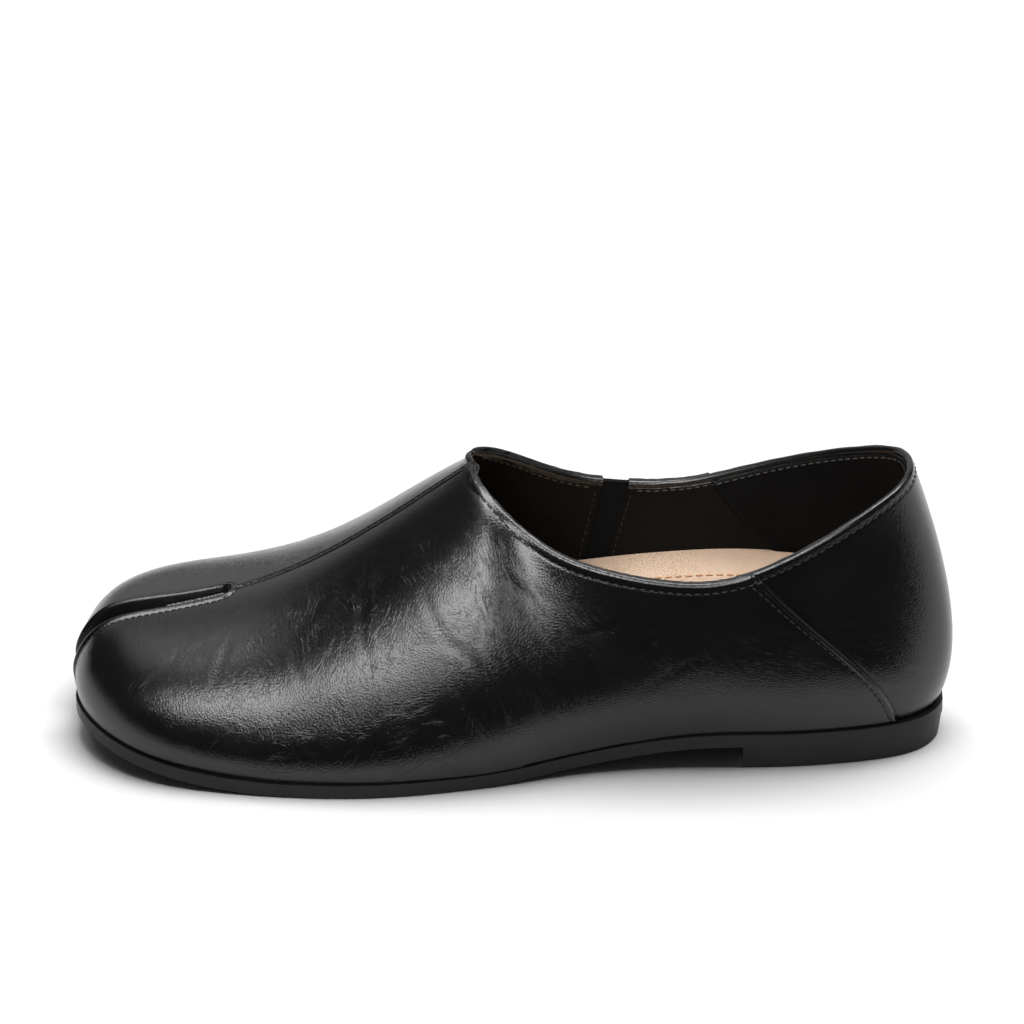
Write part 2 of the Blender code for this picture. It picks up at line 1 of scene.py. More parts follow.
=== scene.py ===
"""Looks of the split-toe loafer, a left shoe: leather upper, split, gore, footbed, sole and heel.

Sizes are in millimetres until to_metres turns them into the frame's metres. A place on the last is
along (forward from the back of the sole), across (plus is the inner side of the foot) and height.
A station is a place on the way round the upper: 0 at the back of the heel, minus on the outer side,
plus on the inner side, growing towards the toe. Down is the distance from the top edge of the upper.
"""

import json
import logging
import math
from dataclasses import dataclass, field
from enum import Enum
from typing import Callable, NamedTuple

import bmesh
import bpy
import numpy as np
from mathutils import Matrix, Vector

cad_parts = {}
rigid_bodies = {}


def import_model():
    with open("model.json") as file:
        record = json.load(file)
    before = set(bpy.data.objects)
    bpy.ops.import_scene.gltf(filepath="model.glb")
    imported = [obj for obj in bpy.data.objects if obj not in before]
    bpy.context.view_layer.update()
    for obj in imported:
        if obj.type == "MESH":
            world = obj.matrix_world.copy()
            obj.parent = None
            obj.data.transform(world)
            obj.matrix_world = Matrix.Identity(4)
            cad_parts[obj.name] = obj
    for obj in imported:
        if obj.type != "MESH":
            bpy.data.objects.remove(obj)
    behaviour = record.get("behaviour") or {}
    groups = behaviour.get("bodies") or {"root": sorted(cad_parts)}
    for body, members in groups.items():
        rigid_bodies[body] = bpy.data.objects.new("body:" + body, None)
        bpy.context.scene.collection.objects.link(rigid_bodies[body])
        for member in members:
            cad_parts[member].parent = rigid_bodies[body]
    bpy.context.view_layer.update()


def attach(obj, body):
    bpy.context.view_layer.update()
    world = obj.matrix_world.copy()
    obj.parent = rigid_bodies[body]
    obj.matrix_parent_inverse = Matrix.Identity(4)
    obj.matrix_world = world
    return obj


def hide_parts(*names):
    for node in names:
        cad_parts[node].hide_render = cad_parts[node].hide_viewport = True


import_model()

BODY = "root"
MM = 0.001
WELD_DISTANCE = 1e-6
TINY = 1e-9
PATCH_SPAN = (0.3, 0.7)
LOG = logging.getLogger("loafer")

Colour = tuple[float, float, float]
Material = bpy.types.Material
Socket = bpy.types.NodeSocket


class Slot(Enum):
    """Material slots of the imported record."""

    LEATHER = "black_leather"
    ELASTIC = "elastic"
    SOCK = "sock_leather"
    RUBBER = "sole_rubber"


class WallRow(NamedTuple):
    """Foot of the wall at a station, and the wall's lean in degrees and pull at foot and top."""

    station: float
    foot_along: float
    foot_across: float
    flare: float
    lean: float
    foot_pull: float
    top_pull: float


class EdgeRow(NamedTuple):
    """A point of the upper's top edge."""

    station: float
    along: float
    across: float
    height: float


class SplitRow(NamedTuple):
    """Half width and depth of the split at a distance forward from its round end."""

    forward: float
    half_width: float
    depth: float


class LevelRow(NamedTuple):
    """Height of the footbed's middle at a place along."""

    along: float
    height: float


class CreaseRow(NamedTuple):
    """A crease by three places on the upper, with its half width and depth."""

    start: tuple[float, float]
    middle: tuple[float, float]
    end: tuple[float, float]
    half_width: float
    depth: float


class DentRow(NamedTuple):
    """A shallow hollow, or with a minus depth a swelling, at a place on the upper."""

    station: float
    down: float
    radius: float
    depth: float


OUTER_WALL = (
    WallRow(17, 2.6, -7.7, 28, 15, 0.26, 0.33),
    WallRow(30, 6.6, -13.1, 23, 11, 0.29, 0.33),
    WallRow(42, 13.7, -17.5, 18, 8, 0.32, 0.33),
    WallRow(68, 45.0, -24.0, 14, 5, 0.33, 0.33),
    WallRow(97, 80.0, -25.3, 14, 14, 0.33, 0.33),
    WallRow(120, 108.0, -29.5, 13, 34, 0.34, 0.32),
    WallRow(138, 124.0, -34.5, 13, 62, 0.35, 0.31),
    WallRow(155, 140.0, -38.8, 13, 90, 0.36, 0.30),
    WallRow(194, 172.0, -43.5, 16, 90, 0.38, 0.33),
    WallRow(230, 206.0, -41.0, 18, 90, 0.40, 0.40),
    WallRow(254, 230.0, -34.0, 18, 90, 0.42, 0.44),
    WallRow(272, 244.3, -22.0, 16, 90, 0.42, 0.45),
    WallRow(286, 250.0, -9.0, 12, 90, 0.40, 0.45),
    WallRow(296, 250.4, 0.8, 0, 90, 0.40, 0.00),
)
HEEL_WALL = WallRow(0, 1.0, 0.0, 30, 20, 0.25, 0.33)
INNER_WALL = (
    WallRow(17, 3.2, 7.7, 28, 15, 0.26, 0.33),
    WallRow(32, 8.3, 13.7, 23, 11, 0.29, 0.33),
    WallRow(48, 19.1, 19.0, 18, 8, 0.32, 0.33),
    WallRow(76, 60.0, 25.0, 18, 5, 0.33, 0.33),
    WallRow(104, 104.0, 27.0, 20, 8, 0.33, 0.33),
    WallRow(111, 110.5, 28.4, 20, 12, 0.33, 0.33),
    WallRow(123, 119.0, 31.0, 18, 32, 0.35, 0.35),
    WallRow(139, 129.0, 34.5, 16, 62, 0.38, 0.37),
    WallRow(155, 140.0, 38.2, 15, 90, 0.42, 0.40),
    WallRow(194, 172.0, 44.7, 16, 90, 0.47, 0.46),
    WallRow(230, 206.0, 43.8, 18, 90, 0.50, 0.56),
    WallRow(254, 230.0, 38.0, 18, 90, 0.52, 0.60),
    WallRow(272, 243.3, 26.5, 16, 90, 0.47, 0.55),
    WallRow(286, 249.4, 13.0, 12, 90, 0.40, 0.45),
    WallRow(296, 250.4, 0.8, 0, 90, 0.40, 0.00),
)
OUTER_COLLAR = (
    EdgeRow(8, 13.1, -11.4, 86.0),
    EdgeRow(17, 24.0, -21.0, 81.1),
    EdgeRow(42, 55.5, -29.0, 65.8),
    EdgeRow(68, 78.0, -30.4, 63.2),
    EdgeRow(97, 100.0, -28.2, 66.4),
    EdgeRow(120, 116.0, -22.0, 71.2),
    EdgeRow(138, 129.4, -11.3, 78.9),
    EdgeRow(147, 134.6, -4.7, 82.6),
    EdgeRow(155, 136.0, 2.0, 84.0),
)
HEEL_TOP = EdgeRow(0, 10.5, 0.0, 87.2)
INNER_COLLAR = (
    EdgeRow(8, 14.0, 11.0, 86.0),
    EdgeRow(17, 26.5, 20.0, 81.4),
    EdgeRow(48, 68.0, 31.5, 66.2),
    EdgeRow(76, 80.0, 32.2, 64.0),
    EdgeRow(104, 91.3, 31.8, 64.0),
    EdgeRow(111, 99.0, 31.0, 65.0),
    EdgeRow(123, 113.0, 27.7, 69.5),
    EdgeRow(139, 131.0, 15.5, 81.5),
    EdgeRow(147, 137.0, 8.9, 84.2),
    EdgeRow(155, 136.0, 2.0, 84.0),
)
CENTRE_SEAM = (
    EdgeRow(155, 136.0, 2.0, 84.0),
    EdgeRow(194, 172.5, 2.0, 57.7),
    EdgeRow(230, 206.5, 1.6, 41.8),
    EdgeRow(254, 230.0, 1.2, 36.9),
    EdgeRow(272, 245.0, 1.0, 31.5),
    EdgeRow(286, 251.2, 0.9, 21.2),
    EdgeRow(296, 250.9, 0.8, 17.0),
)
TOE_SPLIT = (
    SplitRow(0, 2.4, 2.2),
    SplitRow(20, 3.2, 3.4),
    SplitRow(42, 4.0, 5.0),
    SplitRow(60, 3.6, 2.5),
)
FOOTBED_TOP = (
    LevelRow(0, 37.6),
    LevelRow(50, 37.6),
    LevelRow(100, 32.6),
    LevelRow(140, 22.0),
    LevelRow(175, 11.5),
    LevelRow(215, 8.5),
    LevelRow(252, 17.0),
)

THROAT = CENTRE_SEAM[0].station
SPLIT_END = CENTRE_SEAM[2].station
TIP = CENTRE_SEAM[-1].station
OUTER_SEAM = -OUTER_COLLAR[2].station
INNER_SEAM = INNER_COLLAR[2].station
GORE = (INNER_COLLAR[4].station, INNER_COLLAR[5].station)


class Curve:
    """A natural cubic spline through the rows of a table, by its first column."""

    def __init__(self, rows: list) -> None:
        """Solves the spline.

        Args:
            rows: the table's rows, in order of their first column.
        """
        table = np.array(rows, float)
        self.place = table[:, 0]
        self.value = table[:, 1:]
        step = np.diff(self.place)
        slope = np.diff(self.value, axis=0) / step[:, None]
        system = np.eye(len(table))
        change = np.zeros_like(self.value)
        for i in range(1, len(table) - 1):
            system[i, i - 1 : i + 2] = step[i - 1], 2 * (step[i - 1] + step[i]), step[i]
            change[i] = 6 * (slope[i] - slope[i - 1])
        self.bend = np.linalg.solve(system, change)

    def __call__(self, places: np.ndarray) -> np.ndarray:
        """Reads the spline.

        Args:
            places: values of the first column.

        Returns:
            The other columns at those places, on a last axis.
        """
        places = np.clip(np.asarray(places, float), self.place[0], self.place[-1])
        i = np.clip(np.searchsorted(self.place, places) - 1, 0, len(self.place) - 2)
        step = (self.place[i + 1] - self.place[i])[..., None]
        right = (places - self.place[i])[..., None] / step
        left = 1 - right
        curve = (left**3 - left) * self.bend[i] + (right**3 - right) * self.bend[i + 1]
        return left * self.value[i] + right * self.value[i + 1] + curve * step**2 / 6


def smooth_step(value: np.ndarray) -> np.ndarray:
    """Eases from 0 to 1 while value goes from 0 to 1."""
    value = np.clip(value, 0, 1)
    return value * value * (3 - 2 * value)


def bump(value: np.ndarray) -> np.ndarray:
    """A soft hill of height 1 at 0."""
    return np.exp(-(value**2))


def unit(vectors: np.ndarray) -> np.ndarray:
    """Vectors scaled to length 1."""
    return vectors / np.maximum(np.linalg.norm(vectors, axis=-1, keepdims=True), TINY)


def nearest(points: np.ndarray, line: np.ndarray) -> tuple[np.ndarray, np.ndarray]:
    """Distance from each point to the closest point of a dense line.

    Args:
        points: points on a last axis of any size.
        line: points along the line.

    Returns:
        The distances, and the index of the closest point of the line.
    """
    flat = points.reshape(-1, points.shape[-1])
    squares = np.sum(flat**2, axis=1)[:, None] + np.sum(line**2, axis=1) - 2 * flat @ line.T
    index = np.argmin(squares, axis=1)
    distance = np.linalg.norm(flat - line[index], axis=1)
    return distance.reshape(points.shape[:-1]), index.reshape(points.shape[:-1])


def mirrored_rows(outer: tuple, middle: NamedTuple, inner: tuple) -> list:
    """One table round the heel.

    Args:
        outer: the outer side's rows, whose stations become minus.
        middle: the row at the back of the heel.
        inner: the inner side's rows.

    Returns:
        All rows in order of station.
    """
    return [row._replace(station=-row.station) for row in reversed(outer)] + [middle, *inner]


@dataclass
class Last:
    """The form that the shoe is made on, and the sole line that it stands on."""

    length: float = 252.0
    origin_along: float = 125.0
    origin_across: float = 1.2
    sole_thickness: float = 4.0
    heel_height: float = 6.8
    heel_breast: float = 58.0
    arch_end: float = 138.0
    toe_spring: float = 8.6
    toe_spring_start: float = 186.0
    gap: float = 0.3
    foot_run: float = 0.18
    top_run: float = 0.38
    wall_samples: int = 128
    station_step: float = 0.2
    share_step: float = 0.01
    seam_samples: int = 400
    wall: Curve = field(init=False)
    collar: Curve = field(init=False)
    seam: Curve = field(init=False)
    split: Curve = field(init=False)

    def __post_init__(self) -> None:
        """Makes the splines through the tables."""
        self.wall = Curve(mirrored_rows(OUTER_WALL, HEEL_WALL, INNER_WALL))
        self.collar = Curve(mirrored_rows(OUTER_COLLAR, HEEL_TOP, INNER_COLLAR))
        self.seam = Curve(list(CENTRE_SEAM))
        self.split = Curve(list(TOE_SPLIT))

    def to_metres(self, points: np.ndarray) -> np.ndarray:
        """Last places in the frame, where the toe points to -X and the inner side to +Y."""
        x = self.origin_along - points[..., 0]
        return np.stack([x, points[..., 1] - self.origin_across, points[..., 2]], axis=-1) * MM

    def directions(self, vectors: np.ndarray) -> np.ndarray:
        """Last directions in the frame."""
        return vectors * np.array([-1.0, 1.0, 1.0])

    def sole_underside(self, along: np.ndarray) -> np.ndarray:
        """Height of the sole's underside: on the heel, over the arch, flat at the ball, up at the toe.

        Args:
            along: places along the shoe.

        Returns:
            Heights above the floor.
        """
        arch_share = (self.arch_end - along) / (self.arch_end - self.heel_breast)
        arch = (self.heel_height + self.gap) * smooth_step(arch_share)
        past_ball = np.clip((along - self.toe_spring_start) / (self.length - self.toe_spring_start), 0, None)
        return arch + self.toe_spring * past_ball**2

    def sole_topside(self, along: np.ndarray) -> np.ndarray:
        """Height of the sole's upper face."""
        return self.sole_underside(along) + self.sole_thickness

    def foot_line(self, stations: np.ndarray) -> tuple[np.ndarray, np.ndarray]:
        """The feather line seen from above.

        Args:
            stations: places round the upper.

        Returns:
            Its points, and its outward directions.
        """
        places = np.clip(stations, -TIP + self.station_step, TIP - self.station_step)
        ahead = self.wall(places + self.station_step)[:, :2]
        run = unit(ahead - self.wall(places - self.station_step)[:, :2])
        return self.wall(stations)[:, :2], np.stack([-run[:, 1], run[:, 0]], axis=1)

    def top_line(self, stations: np.ndarray) -> np.ndarray:
        """The upper's top edge: the collar, or the centre seam in front of the throat.

        Args:
            stations: places round the upper.

        Returns:
            Its points.
        """
        on_collar = self.collar(np.clip(stations, -THROAT, THROAT))
        on_seam = self.seam(np.clip(np.abs(stations), THROAT, TIP))
        return np.where((np.abs(stations) > THROAT)[:, None], on_seam, on_collar)

    def wall_controls(self, stations: np.ndarray) -> np.ndarray:
        """The four Bezier points of the wall, from its foot to its top.

        Args:
            stations: places round the upper.

        Returns:
            An array of station, point and coordinate.
        """
        shape = self.wall(stations)
        flare = np.radians(shape[:, 2:3])
        lean = np.radians(shape[:, 3:4])
        plan, outward = self.foot_line(stations)
        level = np.zeros(len(stations))
        foot = np.column_stack([plan, self.sole_topside(plan[:, 0]) + self.gap])
        top = self.top_line(stations)
        side = np.where(stations < 0, -1.0, 1.0)
        least_sideways = 1e-3
        sideways = np.where(stations == 0, 0.0, side * np.maximum(np.abs(outward[:, 1]), least_sideways))
        out_foot = np.column_stack([outward, level])
        out_top = unit(np.column_stack([np.minimum(outward[:, 0], 0), sideways, level]))
        up = np.array([0.0, 0.0, 1.0])
        span = top - foot
        reach = np.linalg.norm(span, axis=1, keepdims=True)
        flat = span * np.array([1.0, 1.0, 0.0])
        run = (flat - np.sum(flat * out_top, axis=1, keepdims=True) * out_top) * np.cos(lean)
        rise = np.cos(flare) * up + np.sin(flare) * out_foot
        fall = np.sin(lean) * out_top - np.cos(lean) * up
        low = foot + shape[:, 4:5] * reach * rise + self.foot_run * run
        high = top + shape[:, 5:6] * reach * fall - self.top_run * run
        return np.stack([foot, low, high, top], axis=1)

    def wall_points(self, stations: np.ndarray, shares: np.ndarray) -> tuple[np.ndarray, np.ndarray]:
        """Points of the last on each wall.

        Args:
            stations: places round the upper.
            shares: for each station, shares of its wall's length from the top edge to the foot.

        Returns:
            The points, and each wall's length.
        """
        controls = self.wall_controls(stations)
        t = np.linspace(1, 0, self.wall_samples + 1)[:, None]
        weights = np.hstack([(1 - t) ** 3, 3 * t * (1 - t) ** 2, 3 * t**2 * (1 - t), t**3])
        curve = np.einsum("tk,skc->stc", weights, controls)
        lengths = np.cumsum(np.linalg.norm(np.diff(curve, axis=1), axis=2), axis=1)
        lengths = np.hstack([np.zeros((len(stations), 1)), lengths])
        points = np.empty((len(stations), shares.shape[1], 3))
        for i, (line, length) in enumerate(zip(curve, lengths)):
            for axis in range(3):
                points[i, :, axis] = np.interp(shares[i] * length[-1], length, line[:, axis])
        return points, lengths[:, -1]

    def wall_normals(self, stations: np.ndarray, shares: np.ndarray) -> np.ndarray:
        """Outward directions of the last, level at the foot and shared by both sides at the centre.

        Args:
            stations: places round the upper.
            shares: shares of each wall's length.

        Returns:
            A direction for each point.
        """
        step, drop = self.station_step, self.share_step
        inside = np.clip(stations, -TIP + 3 * step, TIP - 3 * step)
        along = self.wall_points(inside + step, shares)[0] - self.wall_points(inside - step, shares)[0]
        down = self.wall_points(inside, np.minimum(shares + drop, 1))[0]
        down = down - self.wall_points(inside, np.maximum(shares - drop, 0))[0]
        outward = unit(np.cross(along, down))
        from_heel = np.abs(stations)[:, None]
        shared = (from_heel >= TIP) | ((from_heel >= THROAT) & (shares == 0))
        outward[..., 1] *= ~shared
        outward[..., 2] *= shares < 1
        return unit(outward)

    def seam_forward(self, stations: np.ndarray) -> np.ndarray:
        """Distance along the centre seam in front of the split's round end.

        Args:
            stations: places round the upper.

        Returns:
            Distances, minus behind the end.
        """
        places = np.linspace(THROAT, TIP, self.seam_samples)
        steps = np.linalg.norm(np.diff(self.seam(places), axis=0), axis=1)
        run = np.concatenate([[0], np.cumsum(steps)])
        run = run - np.interp(SPLIT_END, places, run)
        behind = np.minimum(np.abs(stations) - THROAT, 0)
        return np.interp(np.abs(stations), places, run) + behind


class Sheet:
    """A bmesh grid whose vertices keep their column, row and side, to be laid on a surface."""

    def __init__(self, columns: int, rows: int) -> None:
        """Makes the flat grid.

        Args:
            columns: vertices along it.
            rows: vertices across it.
        """
        self.mesh = bmesh.new()
        self.column = self.mesh.verts.layers.int.new("column")
        self.row = self.mesh.verts.layers.int.new("row")
        self.side = self.mesh.verts.layers.int.new("side")
        bmesh.ops.create_grid(self.mesh, x_segments=columns - 1, y_segments=rows - 1, size=1)
        for vert in self.mesh.verts:
            vert[self.column] = round((vert.co.x + 1) / 2 * (columns - 1))
            vert[self.row] = round((vert.co.y + 1) / 2 * (rows - 1))

    def place(self, points: np.ndarray) -> None:
        """Lays the grid on points, given by column and row."""
        for vert in self.mesh.verts:
            vert.co = points[vert[self.column], vert[self.row]]

    def weld(self) -> None:
        """Merges vertices that meet."""
        bmesh.ops.remove_doubles(self.mesh, verts=self.mesh.verts[:], dist=WELD_DISTANCE)

    def thicken(self, far_points: np.ndarray) -> None:
        """Closes the sheet into a solid.

        Args:
            far_points: where its copy goes, by column and row.
        """
        near = set(self.mesh.verts)
        bmesh.ops.extrude_face_region(self.mesh, geom=self.mesh.faces[:], use_keep_orig=True)
        for vert in self.mesh.verts:
            if vert not in near:
                vert.co = far_points[vert[self.column], vert[self.row]]
                vert[self.side] = 1
        self.weld()
        bmesh.ops.recalc_face_normals(self.mesh, faces=self.mesh.faces[:])
        if self.mesh.calc_volume(signed=True) < 0:
            bmesh.ops.reverse_faces(self.mesh, faces=self.mesh.faces[:])

    def keep_value(self, name: str, values: np.ndarray) -> None:
        """Stores a number for each vertex, which materials read by name.

        Args:
            name: the attribute's name.
            values: numbers by column and row.
        """
        layer = self.mesh.verts.layers.float.new(name)
        for vert in self.mesh.verts:
            vert[layer] = values[vert[self.column], vert[self.row]]


def finish_piece(
    name: str,
    mesh: bmesh.types.BMesh,
    materials: list[Material],
    slot: Slot,
    replaces: str = "",
    smooth_angle: float = 50.0,
) -> bpy.types.Object:
    """Makes a mesh a piece of the shoe.

    Args:
        name: the piece's name.
        mesh: its finished mesh, which is freed.
        materials: its materials, in the order of its faces' indices.
        slot: the record's slot for the piece; not used.
        replaces: the CAD node that it stands for, if any.
        smooth_angle: edges sharper than this many degrees stay crisp.

    Returns:
        The piece.
    """
    data = bpy.data.meshes.new(name)
    mesh.to_mesh(data)
    mesh.free()
    for material in materials:
        data.materials.append(material)
    data.shade_smooth()
    data.set_sharp_from_angle(angle=math.radians(smooth_angle))
    piece = bpy.data.objects.new(name, data)
    bpy.context.scene.collection.objects.link(piece)
    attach(piece, BODY)
    if replaces:
        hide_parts(replaces)
    LOG.info("%s: %d faces", name, len(data.polygons))
    return piece


class Pattern(NamedTuple):
    """A noise pattern: waves for each metre or unit, octaves, and strength of the finer octaves."""

    scale: float
    detail: float
    roughness: float


class Graph:
    """A material's node tree, with short calls to add and join nodes."""

    def __init__(self, name: str) -> None:
        """Starts a material with a Principled shader and Object coordinates.

        Args:
            name: the material's name.
        """
        self.material = bpy.data.materials.new(name)
        self.material.use_nodes = True
        self.tree = self.material.node_tree
        self.shader = self.tree.nodes["Principled BSDF"]
        self.coords = self.tree.nodes.new("ShaderNodeTexCoord").outputs["Object"]

    def join(self, source: object, target: Socket) -> None:
        """Links a socket to an input, or sets the input to a plain value.

        Args:
            source: a socket or a value.
            target: the input.
        """
        if isinstance(source, Socket):
            self.tree.links.new(source, target)
        else:
            target.default_value = source

    def node(self, kind: str, settings: dict, inputs: dict) -> bpy.types.Node:
        """Adds a node.

        Args:
            kind: the node's type.
            settings: its own properties.
            inputs: values or sockets for its inputs, by name or index.

        Returns:
            The node.
        """
        made = self.tree.nodes.new(kind)
        for key, value in settings.items():
            setattr(made, key, value)
        for key, value in inputs.items():
            self.join(value, made.inputs[key])
        return made

    def math(self, operation: str, first: object, second: object = 0.0) -> Socket:
        """A Math node's value."""
        return self.node("ShaderNodeMath", {"operation": operation}, {0: first, 1: second}).outputs[0]

    def mapping(
        self, sizes: Colour, turn: Colour = (0.0, 0.0, 0.0), vector: object = None
    ) -> Socket:
        """Coordinates turned, then measured in lengths of their own along each axis.

        Args:
            sizes: the lengths that count as 1.
            turn: the turn about each axis in degrees.
            vector: coordinates, or None for Object coordinates.

        Returns:
            The vector's socket.
        """
        inputs = {
            "Vector": self.coords if vector is None else vector,
            "Scale": sizes,
            "Rotation": tuple(math.radians(angle) for angle in turn),
        }
        return self.node("ShaderNodeMapping", {"vector_type": "TEXTURE"}, inputs).outputs["Vector"]

    def noise(self, pattern: Pattern, warp: float = 0.0, vector: object = None) -> Socket:
        """A Noise texture's value.

        Args:
            pattern: its scale, detail and roughness.
            warp: how far the pattern is distorted.
            vector: coordinates, or None for Object coordinates.

        Returns:
            The value's socket.
        """
        inputs = {
            "Vector": self.coords if vector is None else vector,
            "Scale": pattern.scale,
            "Detail": pattern.detail,
            "Roughness": pattern.roughness,
            "Distortion": warp,
        }
        return self.node("ShaderNodeTexNoise", {}, inputs).outputs[0]

    def ramp(self, value: object, low: float, high: float, start: float, end: float) -> Socket:
        """Maps a value from the span low to high onto start to end, clamped."""
        inputs = {"Value": value, "From Min": low, "From Max": high, "To Min": start, "To Max": end}
        return self.node("ShaderNodeMapRange", {"clamp": True}, inputs).outputs["Result"]

    def mix_colour(self, share: object, first: Colour, second: Colour) -> Socket:
        """A mix of two colours.

        Args:
            share: how far the mix is the second colour.
            first: a colour.
            second: another colour.

        Returns:
            The mix's socket.
        """
        made = self.node("ShaderNodeMix", {"data_type": "RGBA"}, {"Factor": share})
        for socket in made.inputs:
            if socket.type == "RGBA":
                socket.default_value = (*(first if socket.name == "A" else second), 1.0)
        return next(socket for socket in made.outputs if socket.type == "RGBA")

    def attribute(self, name: str) -> Socket:
        """A number stored on the piece's vertices."""
        return self.node("ShaderNodeAttribute", {"attribute_name": name}, {}).outputs["Fac"]

    def bumps(self, layers: list[tuple[object, float]]) -> None:
        """Adds relief to the shader, coarse layers first.

        Args:
            layers: pairs of a height socket and its depth in millimetres.
        """
        normal = None
        for height, depth in layers:
            inputs = {"Height": height, "Strength": 1.0, "Distance": depth * MM}
            if normal is not None:
                inputs["Normal"] = normal
            normal = self.node("ShaderNodeBump", {}, inputs).outputs["Normal"]
        self.join(normal, self.shader.inputs["Normal"])

    def surface(self, **values: object) -> None:
        """Sets the shader's inputs, with underscores for spaces in their names."""
        for key, value in values.items():
            self.join(value, self.shader.inputs[key.replace("_", " ")])

    def dress(
        self,
        layers: list[tuple[object, float]],
        tones: tuple[Colour, Colour],
        share: Socket,
        roughness: object,
        gloss: float,
    ) -> Material:
        """Gives the shader its relief, colour and gloss.

        Args:
            layers: pairs of a height socket and its depth in millimetres, coarse layers first.
            tones: the darker and the paler colour.
            share: how far the colour is the paler one.
            roughness: a value or a socket.
            gloss: strength of the reflections.

        Returns:
            The finished material.
        """
        self.bumps(layers)
        colour = self.mix_colour(share, *tones)
        self.surface(Base_Color=colour, Roughness=roughness, Specular_IOR_Level=gloss)
        return self.material


class WrinkleRow(NamedTuple):
    """A set of fine wrinkles: slant in degrees, spacing and length in mm, line share and strength."""

    slant: float
    spacing: float
    length: float
    line: float
    strength: float


@dataclass(frozen=True)
class SmoothLeather:
    """Black leather with a soft gloss, fine grain and, where the piece asks for it, fine wrinkles."""

    name: str = "smooth_black_leather"
    tones: tuple[Colour, Colour] = ((0.0012, 0.0012, 0.0013), (0.0028, 0.0028, 0.003))
    sheen: tuple[float, float] = (0.17, 0.23)
    gloss: float = 0.5
    patches: Pattern = Pattern(55.0, 3.0, 0.55)
    grain: Pattern = Pattern(1700.0, 2.0, 0.6)
    grain_depth: float = 0.008
    pore_scale: float = 1200.0
    pore_edge: float = 0.3
    pore_depth: float = 0.026
    wrinkled: bool = True
    wrinkle_depth: float = 0.035
    wrinkle_lines: Pattern = Pattern(1.0, 2.0, 0.5)
    wrinkle_warp: float = 1.2
    wrinkle_breaks: Pattern = Pattern(0.11, 2.0, 0.5)
    wrinkle_break_span: tuple[float, float] = (0.48, 0.6)
    wrinkle_rows: tuple[WrinkleRow, ...] = (
        WrinkleRow(-22.0, 3.0, 14.0, 0.03, 1.0),
        WrinkleRow(16.0, 2.2, 9.0, 0.035, 0.9),
        WrinkleRow(48.0, 1.7, 6.0, 0.04, 0.7),
    )

    def material(self) -> Material:
        """Makes the leather.

        Returns:
            The material.
        """
        graph = Graph(self.name)
        patches = graph.noise(self.patches)
        inputs = {"Vector": graph.coords, "Scale": self.pore_scale, "Randomness": 1.0}
        cells = graph.node("ShaderNodeTexVoronoi", {"feature": "DISTANCE_TO_EDGE"}, inputs)
        pores = graph.ramp(cells.outputs["Distance"], 0.0, self.pore_edge, 0.0, 1.0)
        layers = [(pores, self.pore_depth), (graph.noise(self.grain), self.grain_depth)]
        if self.wrinkled:
            layers = [(self.wrinkles(graph), self.wrinkle_depth), *layers]
        roughness = graph.ramp(patches, *PATCH_SPAN, *self.sheen)
        return graph.dress(layers, self.tones, patches, roughness, self.gloss)

    def wrinkles(self, graph: Graph) -> Socket:
        """Hair-fine broken wrinkles down the wall, gathered where the piece lets them show.

        Args:
            graph: the material's graph.

        Returns:
            The height's socket.
        """
        fan, down = graph.attribute("fan"), graph.attribute("down")
        place = graph.node("ShaderNodeCombineXYZ", {}, {"X": fan, "Y": down}).outputs["Vector"]
        height = 0.0
        for row in self.wrinkle_rows:
            turn = (0.0, 0.0, row.slant)
            stretched = graph.mapping((row.spacing, row.length, 1.0), turn, place)
            value = graph.noise(self.wrinkle_lines, self.wrinkle_warp, stretched)
            away = graph.math("ABSOLUTE", graph.math("SUBTRACT", value, 0.5))
            trough = graph.ramp(away, 0.0, row.line, -1.0, 0.0)
            breaks = graph.noise(self.wrinkle_breaks, vector=graph.mapping((1.0, 1.0, 1.0), turn, place))
            broken = graph.ramp(breaks, *self.wrinkle_break_span, 0.0, row.strength)
            height = graph.math("ADD", height, graph.math("MULTIPLY", trough, broken))
        return graph.math("MULTIPLY", height, graph.attribute("wrinkle"))


@dataclass(frozen=True)
class Lining:
    """Dark brown pigskin lining, matt with a fine pebble."""

    name: str = "brown_lining"
    tones: tuple[Colour, Colour] = ((0.0022, 0.0017, 0.001), (0.0045, 0.0036, 0.0023))
    roughness: float = 0.75
    gloss: float = 0.08
    blotches: Pattern = Pattern(120.0, 4.0, 0.6)
    pebble: Pattern = Pattern(1300.0, 3.0, 0.6)
    pebble_depth: float = 0.08

    def material(self) -> Material:
        """Makes the lining.

        Returns:
            The material.
        """
        graph = Graph(self.name)
        layers = [(graph.noise(self.pebble), self.pebble_depth)]
        return graph.dress(layers, self.tones, graph.noise(self.blotches), self.roughness, self.gloss)


